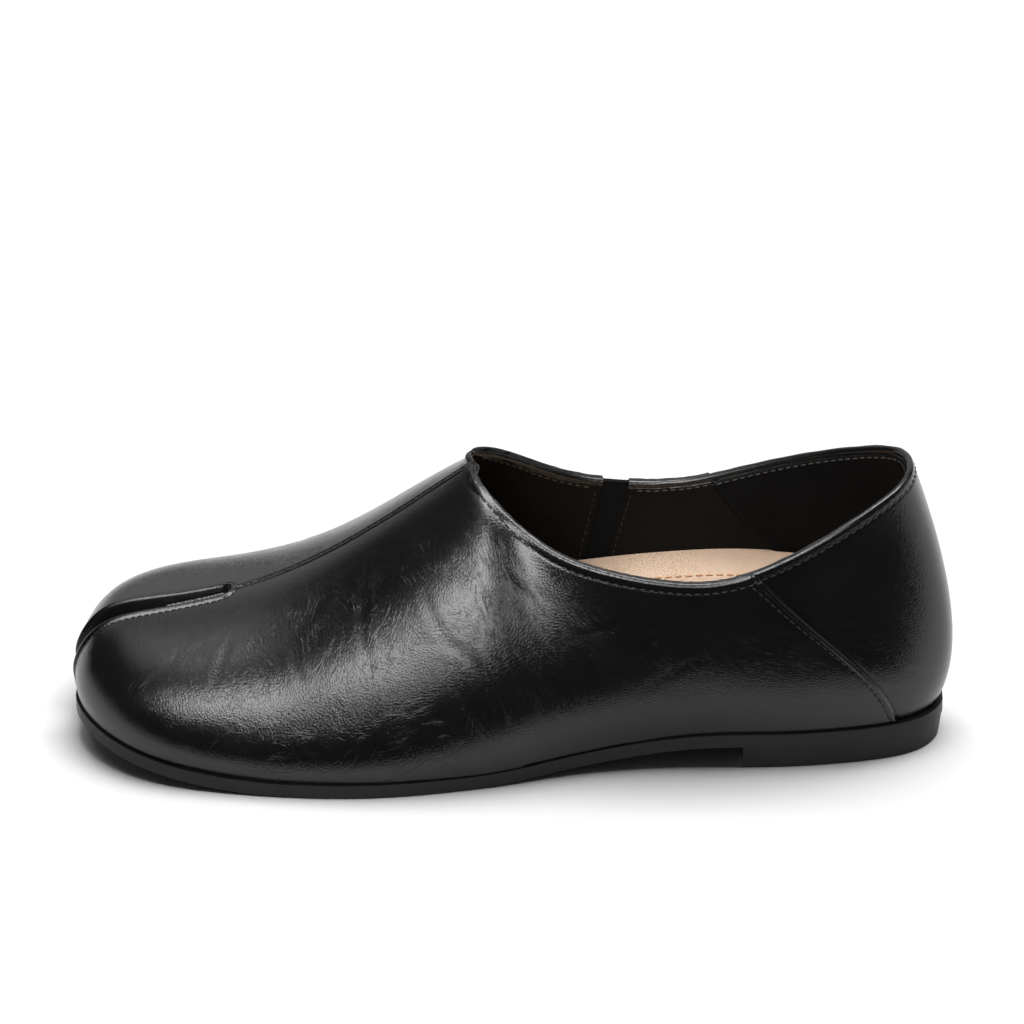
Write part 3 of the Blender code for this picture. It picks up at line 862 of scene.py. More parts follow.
@dataclass(frozen=True)
class SockLeather:
    """Beige sock lining with a fine slanting texture."""

    name: str = "beige_sock"
    tones: tuple[Colour, Colour] = ((0.27, 0.184, 0.125), (0.32, 0.23, 0.16))
    roughness: float = 0.55
    gloss: float = 0.5
    blotches: Pattern = Pattern(90.0, 4.0, 0.6)
    speckle: Pattern = Pattern(2200.0, 2.0, 0.6)
    speckle_depth: float = 0.04
    twill_slant: float = 35.0
    twill_scale: float = 640.0
    twill_warp: float = 1.2
    twill_depth: float = 0.06

    def material(self) -> Material:
        """Makes the sock lining.

        Returns:
            The material.
        """
        graph = Graph(self.name)
        inputs = {
            "Vector": graph.mapping((1.0, 1.0, 1.0), (0.0, 0.0, self.twill_slant)),
            "Scale": self.twill_scale,
            "Distortion": self.twill_warp,
            "Detail": 2.0,
            "Detail Scale": 2.0,
        }
        twill = graph.node("ShaderNodeTexWave", {"wave_type": "BANDS", "bands_direction": "X"}, inputs)
        speckle = graph.noise(self.speckle)
        layers = [(twill.outputs["Fac"], self.twill_depth), (speckle, self.speckle_depth)]
        return graph.dress(layers, self.tones, graph.noise(self.blotches), self.roughness, self.gloss)


@dataclass(frozen=True)
class Rubber:
    """Satin black moulded rubber."""

    name: str = "satin_rubber"
    tones: tuple[Colour, Colour] = ((0.0035, 0.0035, 0.0035), (0.007, 0.007, 0.007))
    sheen: tuple[float, float] = (0.38, 0.55)
    gloss: float = 0.25
    patches: Pattern = Pattern(140.0, 4.0, 0.6)
    moulded: Pattern = Pattern(1900.0, 2.0, 0.6)
    moulded_depth: float = 0.03

    def material(self) -> Material:
        """Makes the rubber.

        Returns:
            The material.
        """
        graph = Graph(self.name)
        patches = graph.noise(self.patches)
        roughness = graph.ramp(patches, *PATCH_SPAN, *self.sheen)
        layers = [(graph.noise(self.moulded), self.moulded_depth)]
        return graph.dress(layers, self.tones, patches, roughness, self.gloss)


@dataclass(frozen=True)
class Webbing:
    """Black elastic webbing."""

    name: str = "elastic_webbing"
    tones: tuple[Colour, Colour] = ((0.001, 0.001, 0.001), (0.003, 0.003, 0.003))
    roughness: float = 0.85
    gloss: float = 0.1
    threads: Pattern = Pattern(1100.0, 2.0, 0.5)
    thread_depth: float = 0.06
    rib_scale: float = 480.0
    rib_warp: float = 0.6
    rib_depth: float = 0.16

    def material(self) -> Material:
        """Makes the webbing.

        Returns:
            The material.
        """
        graph = Graph(self.name)
        threads = graph.noise(self.threads)
        inputs = {"Vector": graph.coords, "Scale": self.rib_scale, "Distortion": self.rib_warp, "Detail": 1.0}
        ribs = graph.node("ShaderNodeTexWave", {"wave_type": "BANDS", "bands_direction": "Z"}, inputs)
        layers = [(ribs.outputs["Fac"], self.rib_depth), (threads, self.thread_depth)]
        return graph.dress(layers, self.tones, threads, self.roughness, self.gloss)


@dataclass(frozen=True)
class Thread:
    """Sewing thread with a faint twist."""

    name: str
    tones: tuple[Colour, Colour]
    roughness: float = 0.5
    gloss: float = 0.2
    twist: Pattern = Pattern(2600.0, 1.0, 0.5)
    twist_sizes: Colour = (1.0, 1.7, 0.7)
    twist_turn: Colour = (0.0, 30.0, 40.0)
    twist_depth: float = 0.06

    def material(self) -> Material:
        """Makes the thread.

        Returns:
            The material.
        """
        graph = Graph(self.name)
        twist = graph.noise(self.twist, vector=graph.mapping(self.twist_sizes, self.twist_turn))
        return graph.dress([(twist, self.twist_depth)], self.tones, twist, self.roughness, self.gloss)


class Stitch(NamedTuple):
    """A stitch: its pitch, its length and its thread's radius."""

    pitch: float
    length: float
    radius: float


COLLAR_STITCH = Stitch(2.6, 1.9, 0.24)
SEAM_STITCH = Stitch(2.2, 1.6, 0.24)
SPLIT_STITCH = Stitch(2.0, 1.5, 0.22)
LINING_STITCH = Stitch(2.4, 1.8, 0.2)
FOOTBED_STITCH = Stitch(3.0, 2.2, 0.3)


class Line(NamedTuple):
    """A line on a surface, with the surface's outward directions along it."""

    points: np.ndarray
    normals: np.ndarray


@dataclass
class Stitching:
    """A row of stitches laid along lines on a surface."""

    name: str
    lines: list[Line]
    thread: Material
    slot: Slot
    size: Stitch
    sink: float = 0.08
    last: Last = field(default_factory=Last)

    def build(self) -> bpy.types.Object:
        """Makes the row as one piece.

        Returns:
            The piece.
        """
        mesh = bmesh.new()
        for line in self.lines:
            self.sew(mesh, line)
        return finish_piece(self.name, mesh, [self.thread], self.slot)

    def sew(self, mesh: bmesh.types.BMesh, line: Line) -> None:
        """Adds the stitches of one line.

        Args:
            mesh: where they go.
            line: the line, in millimetres on the last.
        """
        steps = np.linalg.norm(np.diff(line.points, axis=0), axis=1)
        run = np.concatenate([[0], np.cumsum(steps)])
        count = max(1, round(run[-1] / self.size.pitch))
        for k in range(count):
            middle = (k + 0.5) * run[-1] / count
            places = middle + self.size.length * np.array([-0.5, 0.0, 0.5])
            ends = np.stack([np.interp(places, run, line.points[:, axis]) for axis in range(3)], axis=1)
            normal = unit(np.array([np.interp(middle, run, line.normals[:, axis]) for axis in range(3)]))
            lifted = ends[1] + normal * (self.size.radius - self.sink)
            self.add_stitch(mesh, lifted, ends[2] - ends[0], normal)

    def add_stitch(
        self, mesh: bmesh.types.BMesh, middle: np.ndarray, chord: np.ndarray, normal: np.ndarray
    ) -> None:
        """Adds one stitch, a small rounded bar.

        Args:
            mesh: where it goes.
            middle: its middle on the last.
            chord: from one end to the other.
            normal: the surface's outward direction.
        """
        along = Vector(self.last.directions(unit(chord)))
        out = Vector(self.last.directions(normal))
        side = out.cross(along).normalized()
        out = along.cross(side)
        axes = Matrix((along, side, out)).transposed().to_4x4()
        half, radius = self.size.length / 2 * MM, self.size.radius * MM
        size = Matrix.Diagonal((half, radius, radius, 1.0))
        place = Matrix.Translation(Vector(self.last.to_metres(middle)))
        bmesh.ops.create_icosphere(mesh, subdivisions=2, radius=1.0, matrix=place @ axes @ size)


CREASES = (
    CreaseRow((-188, 17), (-189, 33), (-186, 49), 1.3, 0.13),
    CreaseRow((-171, 34), (-165, 48), (-149, 62), 1.2, 0.16),
    CreaseRow((-209, 31), (-209, 38), (-206, 45), 1.0, 0.1),
    CreaseRow((-174, 46), (-157, 58), (-148, 61), 1.1, 0.12),
    CreaseRow((-90, 27), (-78, 20), (-65, 15), 1.0, 0.11),
    CreaseRow((-114, 25), (-103, 20), (-90, 14), 1.1, 0.12),
    CreaseRow((-29, 53), (-23, 58), (-11, 64), 0.9, 0.13),
    CreaseRow((-198, 17), (-205, 24), (-213, 30), 1.4, 0.1),
    CreaseRow((-164, 22), (-158, 32), (-146, 35), 1.3, 0.11),
    CreaseRow((-180, 18), (-185, 25), (-192, 31), 1.2, 0.1),
    CreaseRow((-143, 22), (-133, 20), (-122, 18), 1.3, 0.1),
    CreaseRow((-100, 42), (-88, 34), (-73, 28), 1.3, 0.1),
    CreaseRow((-228, 22), (-231, 30), (-233, 38), 1.2, 0.07),
    CreaseRow((-243, 24), (-246, 28), (-251, 32), 1.2, 0.07),
    CreaseRow((-137, 47), (-128, 52), (-123, 58), 1.4, 0.1),
    CreaseRow((196, 26), (190, 40), (186, 54), 1.3, 0.13),
    CreaseRow((176, 30), (170, 44), (168, 56), 1.2, 0.13),
    CreaseRow((212, 22), (208, 34), (206, 44), 1.3, 0.1),
    CreaseRow((92, 22), (82, 18), (70, 14), 1.1, 0.11),
)
DENTS = (
    DentRow(-230, 30, 18.0, -0.7),
    DentRow(-207, 32, 18.0, -0.6),
    DentRow(-234, 52, 16.0, 0.6),
    DentRow(-209, 58, 16.0, 0.5),
    DentRow(-155, 74, 22.0, -0.8),
    DentRow(-133, 54, 22.0, -1.0),
    DentRow(-110, 42, 20.0, -1.0),
    DentRow(-215, 34, 13.0, 0.22),
    DentRow(-196, 42, 11.0, -0.2),
    DentRow(-178, 38, 12.0, 0.22),
    DentRow(-152, 36, 14.0, 0.2),
    DentRow(-120, 30, 14.0, 0.25),
    DentRow(-84, 26, 14.0, 0.2),
    DentRow(205, 32, 13.0, 0.22),
    DentRow(172, 36, 12.0, 0.22),
    DentRow(120, 30, 14.0, 0.2),
)


@dataclass
class Upper:
    """The leather upper: one hollow wall with its seams, split, rim, lining and creases."""

    last: Last
    wall: float = 2.0
    front_step: float = 0.8
    front_lip: float = 0.25
    front_stitch: float = 2.0
    front_stitch_top: float = 1.0
    rim_round: float = 1.0
    rim_least: float = 0.15
    rim_bead: float = 0.12
    rim_stitch: float = 3.0
    rim_samples: int = 900
    channel_depth: float = 0.12
    channel_width: float = 0.4
    seam_depth: float = 0.9
    seam_lip: float = 0.25
    seam_stitch: float = 1.35
    split_edge: float = 0.9
    roll_width: float = 1.7
    roll_raise: float = 0.65
    roll_groove: float = 0.35
    split_stitch: float = 0.25
    throat_thinning: float = 0.65
    throat_reach: float = 9.0
    unfold_station: float = 153.0
    unfold_width: float = 5.0
    unfold_reach: float = 3.2
    unfold_slope: float = 0.72
    throat_ease: float = 7.0
    throat_zone: float = 26.0
    throat_start: float = 5.0
    throat_low: float = 50.0
    throat_fade: float = 20.0
    lining_top: float = 1.9
    lining_step: float = 0.3
    lining_stitch: float = 2.7
    back_lining_step: float = 0.6
    back_lining_lip: float = 0.35
    back_lining_bow: float = 3.0
    back_lining_reach: float = 50.0
    top_reach: float = 10.0
    top_steps: int = 32
    top_crowding: float = 0.25
    top_most_share: float = 0.6
    lower_steps: int = 48
    heel_station_step: float = 1.5
    vamp_station_step: float = 1.3
    split_station_step: float = 0.6
    split_lead: float = 6.0
    seam_station_step: float = 0.35
    seam_zone: tuple[float, float] = (-1.4, 4.9)
    stations: np.ndarray = field(init=False)
    shares: np.ndarray = field(init=False)
    down: np.ndarray = field(init=False)
    form: np.ndarray = field(init=False)
    normals: np.ndarray = field(init=False)
    rim: np.ndarray = field(init=False)
    inner_edge: np.ndarray = field(init=False)
    outside: np.ndarray = field(init=False)
    inside: np.ndarray = field(init=False)

    def __post_init__(self) -> None:
        """Works out the grid, its form and both faces of the wall."""
        self.stations = self.station_grid()
        self.shares, lengths = self.share_grid(self.stations)
        self.down = self.shares * lengths
        self.form = self.eased(self.unfolded(self.last.wall_points(self.stations, self.shares)[0]))
        self.normals = unit(self.eased(self.last.wall_normals(self.stations, self.shares)))
        rim_line = self.last.collar(np.linspace(-THROAT, THROAT, self.rim_samples))
        self.rim = nearest(self.form, rim_line)[0]
        self.inner_edge = self.back_lining_edge(self.stations, self.rim)
        self.outside = self.seated(self.form + self.normals * self.outer_relief()[..., None])
        inner = self.inner_relief(self.stations, self.form, self.rim)
        self.inside = self.seated(self.form + self.normals * inner[..., None])

    def unfolded(self, form: np.ndarray) -> np.ndarray:
        """Moves the inner side's wall beside the throat down the vamp's slope, clear of the rim.

        Args:
            form: points of the last by column and row.

        Returns:
            The moved points.
        """
        aside = (self.stations[:, None] - self.unfold_station) / self.unfold_width
        shift = self.unfold_reach * bump(aside) * smooth_step(self.down / self.throat_start)
        shift = shift * smooth_step((self.throat_low - self.down) / self.throat_fade / 2)
        slope = unit(np.array([1.0, 0.0, -self.unfold_slope]))
        return form + shift[..., None] * slope

    def eased(self, grid: np.ndarray) -> np.ndarray:
        """Smooths the fold that runs down the wall from the throat's corner.

        Args:
            grid: vectors by column and row.

        Returns:
            The grid, unchanged at the top edge and away from the throat.
        """
        aside = np.abs(np.abs(self.stations) - THROAT)[:, None] / self.throat_zone
        width = self.throat_ease * smooth_step(2 * (1 - aside)) * smooth_step(self.down / self.throat_start)
        width = width * smooth_step((self.throat_low - self.down) / self.throat_fade)
        spacing = np.gradient(self.stations)
        eased = np.empty_like(grid)
        for row in range(grid.shape[1]):
            away = (self.stations[:, None] - self.stations) / np.maximum(width[:, row : row + 1], TINY)
            weight = bump(away) * spacing
            eased[:, row] = weight @ grid[:, row] / np.sum(weight, axis=1, keepdims=True)
        return eased

    def station_grid(self) -> np.ndarray:
        """Stations round the upper, closer at the split and at the slanting seams.

        Returns:
            The stations in order.
        """
        split = SPLIT_END - self.split_lead
        marks = {-TIP, TIP, -THROAT, THROAT, 0.0, -split, split, -SPLIT_END, SPLIT_END, *GORE}
        for seam in (OUTER_SEAM, INNER_SEAM):
            sign = math.copysign(1, seam)
            marks |= {seam + sign * offset for offset in self.seam_zone}
            marks |= {seam, seam + sign * self.seam_station_step}
        marks = sorted(marks)
        stations = [marks[0]]
        for start, end in zip(marks, marks[1:]):
            parts = math.ceil((end - start) / self.step_between(start, end) - TINY)
            stations += [start + (end - start) * (k + 1) / parts for k in range(parts)]
        return np.array(stations, float)

    def step_between(self, start: float, end: float) -> float:
        """The station step in a stretch between two marks.

        Args:
            start: the stretch's first station.
            end: its last station.

        Returns:
            The step.
        """
        middle = (start + end) / 2
        for seam in (OUTER_SEAM, INNER_SEAM):
            offset = (middle - seam) * math.copysign(1, seam)
            if self.seam_zone[0] < offset < self.seam_zone[1]:
                return self.seam_station_step
        if min(abs(start), abs(end)) >= SPLIT_END - self.split_lead:
            return self.split_station_step
        if min(abs(start), abs(end)) >= THROAT:
            return self.vamp_station_step
        return self.heel_station_step

    def share_grid(self, stations: np.ndarray) -> tuple[np.ndarray, np.ndarray]:
        """Shares down each wall: close steps under the top edge that follow the split, wider ones below.

        Args:
            stations: places round the upper.

        Returns:
            The shares, and each wall's length.
        """
        length = self.last.wall_points(stations, np.zeros((len(stations), 1)))[1][:, None]
        even = np.linspace(0, 1, self.top_steps + 1)
        steps = self.top_reach * ((1 - self.top_crowding) * even + self.top_crowding * even**2)
        least = TOE_SPLIT[0].half_width
        widths = self.last.split(np.clip(self.last.seam_forward(stations), 0, None))[:, :1]
        steps = steps + (widths - least) * np.clip(steps / least, 0, 1)
        squeeze = np.minimum(1, self.top_most_share * length / self.top_reach)
        top_part = steps * squeeze / length
        rest = np.linspace(0, 1, self.lower_steps + 1)[1:]
        return np.hstack([top_part, top_part[:, -1:] + (1 - top_part[:, -1:]) * rest]), length

    def seated(self, sheet: np.ndarray) -> np.ndarray:
        """Keeps a face of the wall off the sole, with its foot along the sole's upper face.

        Args:
            sheet: the face's points, which are changed.

        Returns:
            The points.
        """
        seat = self.last.sole_topside(sheet[..., 0]) + self.last.gap
        sheet[..., 2] = np.maximum(sheet[..., 2], seat)
        sheet[:, -1, 2] = seat[:, -1]
        return sheet

    def split_distance(self, stations: np.ndarray, form: np.ndarray) -> tuple[np.ndarray, ...]:
        """Where points lie by the split.

        Args:
            stations: places round the upper.
            form: points of the last.

        Returns:
            Distance from the split's middle line, its half width and its depth.
        """
        forward = self.last.seam_forward(stations)[:, None]
        split = self.last.split(np.clip(forward, 0, None))
        aside = form[..., 1] - self.last.top_line(stations)[:, None, 1]
        distance = np.hypot(aside, np.clip(TOE_SPLIT[0].half_width - forward, 0, None))
        return distance, split[..., 0], split[..., 1]

    def seam_aside(self) -> np.ndarray:
        """Distance across from the centre seam, plus on the inner side."""
        places = np.clip(np.abs(self.stations), THROAT, TIP)
        return self.form[..., 1] - self.last.seam(places)[:, None, 1]

    def panel_edge(self) -> np.ndarray:
        """Stations in front of the slanting seams.

        Returns:
            Distances for each station, minus on the back panel.
        """
        outer = OUTER_SEAM - self.stations
        inner = self.stations - INNER_SEAM
        return np.maximum(outer, inner)[:, None]

    def outer_relief(self) -> np.ndarray:
        """How far the outside stands off the last.

        Returns:
            Distances by station and share.
        """
        return self.panel_relief() + self.rim_relief() + self.centre_relief() + self.crease_relief()

    def panel_relief(self) -> np.ndarray:
        """The front panel over the back panel, with its folded edge and its stitch channel.

        Returns:
            Distances by station and share.
        """
        lip_middle, tuck_middle, softness, tuck_depth = 0.7, -0.4, 0.5, 0.25
        edge = self.panel_edge()
        step = self.front_step * smooth_step(edge / self.seam_station_step)
        lip = self.front_lip * bump((edge - lip_middle) / softness) * (edge > 0)
        tuck = -tuck_depth * bump((edge - tuck_middle) / softness) * (edge <= 0)
        channel = -self.channel_depth * bump((edge - self.front_stitch) / self.channel_width)
        return step + lip + tuck + channel * (self.rim > self.rim_stitch)

    def rim_relief(self) -> np.ndarray:
        """The collar's rounded folded edge and its stitch channel.

        Returns:
            Distances by station and share.
        """
        bead_middle, bead_width = 1.3, 0.9
        bead = self.rim_bead * bump((self.rim - bead_middle) / bead_width)
        channel = -self.channel_depth * bump((self.rim - self.rim_stitch) / self.channel_width)
        return bead + channel - self.rim_turn(self.rim) * self.wall / 2

    def rim_turn(self, rim: np.ndarray) -> np.ndarray:
        """Share of the half wall that is rounded off at the rim: 1 at its very edge."""
        inward = 1 - np.clip(rim / self.rim_round, 0, 1)
        return (1 - np.sqrt(1 - inward**2)) * (1 - self.rim_least)

    def centre_relief(self) -> np.ndarray:
        """The centre seam's groove, and in front of it the split between its rolled edges.

        Returns:
            Distances by station and share.
        """
        throat_lead, throat_fade, rim_fade = 1.0, 3.0, 5.0
        roll_margin, roll_fade, groove_place, groove_width = 1.0, 0.8, 0.2, 0.4
        distance, half_width, depth = self.split_distance(self.stations, self.form)
        beyond = distance - half_width
        on_vamp = smooth_step((np.abs(self.stations)[:, None] - THROAT + throat_lead) / throat_fade)
        in_split = smooth_step((self.roll_width + roll_margin - beyond) / roll_fade)
        split = -depth * smooth_step(0.5 - beyond / self.split_edge)
        half_roll = self.roll_width / 2
        roll = self.roll_raise * np.sqrt(np.clip(1 - ((beyond - half_roll) / half_roll) ** 2, 0, 1))
        groove = -self.roll_groove * bump((beyond - self.roll_width - groove_place) / groove_width)
        seam = self.seam_relief() * (1 - in_split) * smooth_step(self.rim / rim_fade)
        return on_vamp * (seam + split + roll + groove)

    def seam_relief(self) -> np.ndarray:
        """The centre seam: the outer side's crisp edge, and a groove that rises to the inner side.

        Returns:
            Distances by station and share.
        """
        lip_middle, lip_width = -0.5, 0.5
        fall_start, fall_width, rise_start, rise_width = -0.1, 0.5, 0.9, 0.9
        aside = self.seam_aside()
        lip = self.seam_lip * bump((aside - lip_middle) / lip_width)
        fall = smooth_step((aside - fall_start) / fall_width)
        rise = smooth_step((aside - rise_start) / rise_width)
        return lip - self.seam_depth * fall * (1 - rise)

    def place_at(self, station: float, down: float) -> np.ndarray:
        """A point of the last.

        Args:
            station: its station.
            down: its distance under the top edge.

        Returns:
            The point.
        """
        stations = np.array([station], float)
        length = self.last.wall_points(stations, np.zeros((1, 1)))[1][0]
        return self.last.wall_points(stations, np.array([[down / length]]))[0][0, 0]

    def crease_relief(self) -> np.ndarray:
        """The listed creases, each a soft trough with a ridge on either side, and the hollows.

        Returns:
            Distances by station and share.
        """
        samples, ridge_share, ridge_place, rim_fade = 40, 0.35, 2.1, 8.0
        relief = np.zeros(self.form.shape[:2])
        shares = np.linspace(0, 1, samples)
        for crease in CREASES:
            marks = [self.place_at(*mark) for mark in (crease.start, crease.middle, crease.end)]
            path = Curve([(k / 2, *mark) for k, mark in enumerate(marks)])
            distance, index = nearest(self.form, path(shares))
            fade = np.sqrt(np.sin(np.pi * np.clip(shares, 0.02, 0.98)))[index]
            trough = bump(distance / crease.half_width)
            ridge = ridge_share * bump((distance - ridge_place * crease.half_width) / crease.half_width)
            relief += crease.depth * fade * (ridge - trough)
        for dent in DENTS:
            middle = self.place_at(dent.station, dent.down)
            away = np.linalg.norm(self.form - middle, axis=-1)
            relief -= dent.depth * bump(away / dent.radius)
        return relief * smooth_step(self.rim / rim_fade)

    def inner_relief(self, stations: np.ndarray, form: np.ndarray, rim: np.ndarray) -> np.ndarray:
        """How far the inside lies under the last: the facing, the lining and the split's ridge.

        Args:
            stations: places round the upper.
            form: points of the last.
            rim: their distances from the collar's edge.

        Returns:
            Distances, minus inwards.
        """
        top_fade, edge_fade, lip_middle, lip_width = 0.35, 0.5, -1.2, 0.9
        distance, half_width, depth = self.split_distance(stations, form)
        ridge = depth * smooth_step((half_width + self.wall - distance) / (2 * self.split_edge) + 0.5)
        turn = self.rim_turn(rim) * self.wall / 2
        below_top = smooth_step((rim - self.lining_top) / top_fade)
        edge = self.back_lining_edge(stations, rim)
        back = smooth_step(0.5 - edge / edge_fade)
        lip = self.back_lining_lip * bump((edge - lip_middle) / lip_width)
        lining = (self.lining_step + self.back_lining_step * back + lip) * below_top
        from_throat = np.hypot(np.abs(stations)[:, None] - THROAT, rim)
        thinned = 1 - self.throat_thinning * bump(from_throat / self.throat_reach)
        return -(self.wall + ridge + lining - turn) * thinned

    def back_lining_edge(self, stations: np.ndarray, rim: np.ndarray) -> np.ndarray:
        """Stations in front of the back lining's bowed edge.

        Args:
            stations: places round the upper.
            rim: distances of their points from the collar's edge.

        Returns:
            Distances, minus on the back lining.
        """
        bow = self.back_lining_bow * np.sin(np.pi * np.clip(rim / self.back_lining_reach, 0, 1))
        front = np.maximum(OUTER_SEAM - stations, stations - INNER_SEAM)
        return front[:, None] - bow

    def wrinkle_share(self) -> np.ndarray:
        """How strongly the leather's fine wrinkles show: most on the vamp's sides, least at the toe.

        Returns:
            Shares by station and share of the wall.
        """
        least, quarter_most = 0.08, 0.4
        vamp_start, vamp_rise, toe_end, toe_fall = 95, 50, 258, 45
        down_start, down_rise, rim_start, rim_rise, heel_start, heel_rise = 6, 16, 4, 8, 10, 30
        from_heel = np.abs(self.stations)[:, None]
        vamp = smooth_step((from_heel - vamp_start) / vamp_rise)
        vamp = vamp * smooth_step((toe_end - from_heel) / toe_fall)
        low = smooth_step((self.down - down_start) / down_rise)
        low = low * smooth_step((self.rim - rim_start) / rim_rise)
        quarter = quarter_most * smooth_step((from_heel - heel_start) / heel_rise)
        return np.clip(least + ((1 - least) * vamp + quarter * (1 - vamp)) * low, 0, 1)

    def fan(self) -> np.ndarray:
        """A coordinate whose level lines run down the wall and spread towards the toe and the arch.

        Returns:
            Its value by station and share.
        """
        most, middle, reach = 0.35, 200, 40
        from_heel = np.abs(self.stations)[:, None]
        spread = most * np.clip((from_heel - middle) / reach, -1, 1)
        return from_heel - spread * self.down

    def build(self, leather: Material, lining: Material, back: Material) -> None:
        """Makes the upper as one closed piece.

        Args:
            leather: the outside's material.
            lining: the front part's lining.
            back: the back panel's lining.
        """
        sheet = Sheet(*self.shares.shape)
        sheet.place(self.last.to_metres(self.outside))
        slot_row = self.top_steps + self.lower_steps // 2
        in_slot = [face for face in sheet.mesh.faces if self.is_slot(sheet, face, slot_row)]
        bmesh.ops.delete(sheet.mesh, geom=in_slot, context="FACES")
        sheet.weld()
        for name, values in (("wrinkle", self.wrinkle_share()), ("fan", self.fan()), ("down", self.down)):
            sheet.keep_value(name, values)
        sheet.thicken(self.last.to_metres(self.inside))
        for face in sheet.mesh.faces:
            face.material_index = self.lining_index(sheet, face)
        materials = [leather, lining, back]
        finish_piece("upper_leather", sheet.mesh, materials, Slot.LEATHER, "upper", smooth_angle=70.0)

    def is_slot(self, sheet: Sheet, face: bmesh.types.BMFace, slot_row: int) -> bool:
        """Tells the faces that make way for the elastic gore.

        Args:
            sheet: the upper's grid.
            face: one of its faces.
            slot_row: the row at the slot's lower end.

        Returns:
            True on those faces.
        """
        return all(
            GORE[0] <= self.stations[vert[sheet.column]] <= GORE[1] and vert[sheet.row] <= slot_row
            for vert in face.verts
        )

    def lining_index(self, sheet: Sheet, face: bmesh.types.BMFace) -> int:
        """The material of a face.

        Args:
            sheet: the upper's grid.
            face: one of its faces.

        Returns:
            0 for the outer leather, 1 for the front's lining, 2 for the back's.
        """
        if any(vert[sheet.side] == 0 for vert in face.verts):
            return 0
        places = [(vert[sheet.column], vert[sheet.row]) for vert in face.verts]
        if min(self.rim[place] for place in places) < self.lining_top:
            return 0
        return 1 if max(self.inner_edge[place] for place in places) > 0 else 2

    def contour(self, values: np.ndarray, level: float, columns: np.ndarray, face: np.ndarray) -> Line:
        """The line on a face of the wall where a value first passes a level on each column.

        Args:
            values: a value by column and row, growing down the wall.
            level: the level.
            columns: indices of the columns to read, in the line's order.
            face: the face's points.

        Returns:
            The line, with the last's outward directions.
        """
        points, normals = [], []
        for column in columns:
            above = values[column] >= level
            if above[0] or not above.any():
                continue
            row = int(np.argmax(above))
            low, high = values[column, row - 1], values[column, row]
            share = (level - low) / (high - low)
            points.append(face[column, row - 1] * (1 - share) + face[column, row] * share)
            normals.append(self.normals[column, row])
        return Line(np.array(points), np.array(normals))

    def columns_between(self, start: float, end: float) -> np.ndarray:
        """Indices of the columns from one station to another.

        Args:
            start: the first station.
            end: the last station.

        Returns:
            The indices in that order.
        """
        low, high = sorted((start, end))
        columns = np.flatnonzero((self.stations >= low) & (self.stations <= high))
        return columns if start <= end else columns[::-1]

    def column_line(self, station: float, rim: float, face: np.ndarray, foot_gap: float = 1.0) -> Line:
        """A line down the wall at a station, from a distance under the rim to near the foot.

        Args:
            station: the line's station.
            rim: its start under the rim.
            face: the face's points.
            foot_gap: how far above the foot it ends.

        Returns:
            The line.
        """
        column = int(np.argmin(np.abs(self.stations - station)))
        total = self.down[column, -1]
        rows = (self.rim[column] >= rim) & (self.down[column] <= total - foot_gap)
        return Line(face[column, rows], self.normals[column, rows])


@dataclass
class CollarFold:
    """The rounded fold along the collar's rim, from the gore round the throat and the heel to the gore."""

    upper: Upper
    radius: float = 1.1
    proud: float = 0.1
    sides: int = 14
    throat_skip: float = 9.0
    front_rings: int = 80
    rest_rings: int = 400

    def build(self, leather: Material) -> None:
        """Makes the fold.

        Args:
            leather: its material.
        """
        points = self.tube()
        sheet = Sheet(*points.shape[:2])
        sheet.place(self.upper.last.to_metres(points))
        sheet.weld()
        ends = [edge for edge in sheet.mesh.edges if edge.is_boundary]
        bmesh.ops.holes_fill(sheet.mesh, edges=ends, sides=0)
        bmesh.ops.recalc_face_normals(sheet.mesh, faces=sheet.mesh.faces[:])
        finish_piece("collar_fold", sheet.mesh, [leather], Slot.LEATHER)

    def tube(self) -> np.ndarray:
        """Rings of points round the rim.

        Returns:
            Points by place along the rim and place on the ring.
        """
        last = self.upper.last
        front = np.linspace(GORE[1], THROAT, self.front_rings)
        rest = np.linspace(-THROAT, GORE[0], self.rest_rings)[1:]
        stations = np.concatenate([front, rest])
        order = np.concatenate([front, rest + 2 * THROAT])
        normals = last.wall_normals(stations, np.zeros((len(stations), 1)))[:, 0]
        from_throat = np.abs(order - THROAT)
        sure = (from_throat < TINY) | (from_throat >= self.throat_skip)
        out = np.stack([np.interp(order, order[sure], normals[sure, axis]) for axis in range(3)], axis=1)
        rim = last.collar(stations)
        run = unit(np.gradient(rim, axis=0))
        out = unit(out - np.sum(out * run, axis=1, keepdims=True) * run)
        away = np.cross(run, out)
        angle = np.linspace(0, 2 * np.pi, self.sides + 1)[:, None]
        ring = np.cos(angle) * out[:, None] + np.sin(angle) * away[:, None]
        middle = rim - out * self.upper.wall / 2 - away * (self.radius - self.proud)
        return middle[:, None] + ring * self.radius


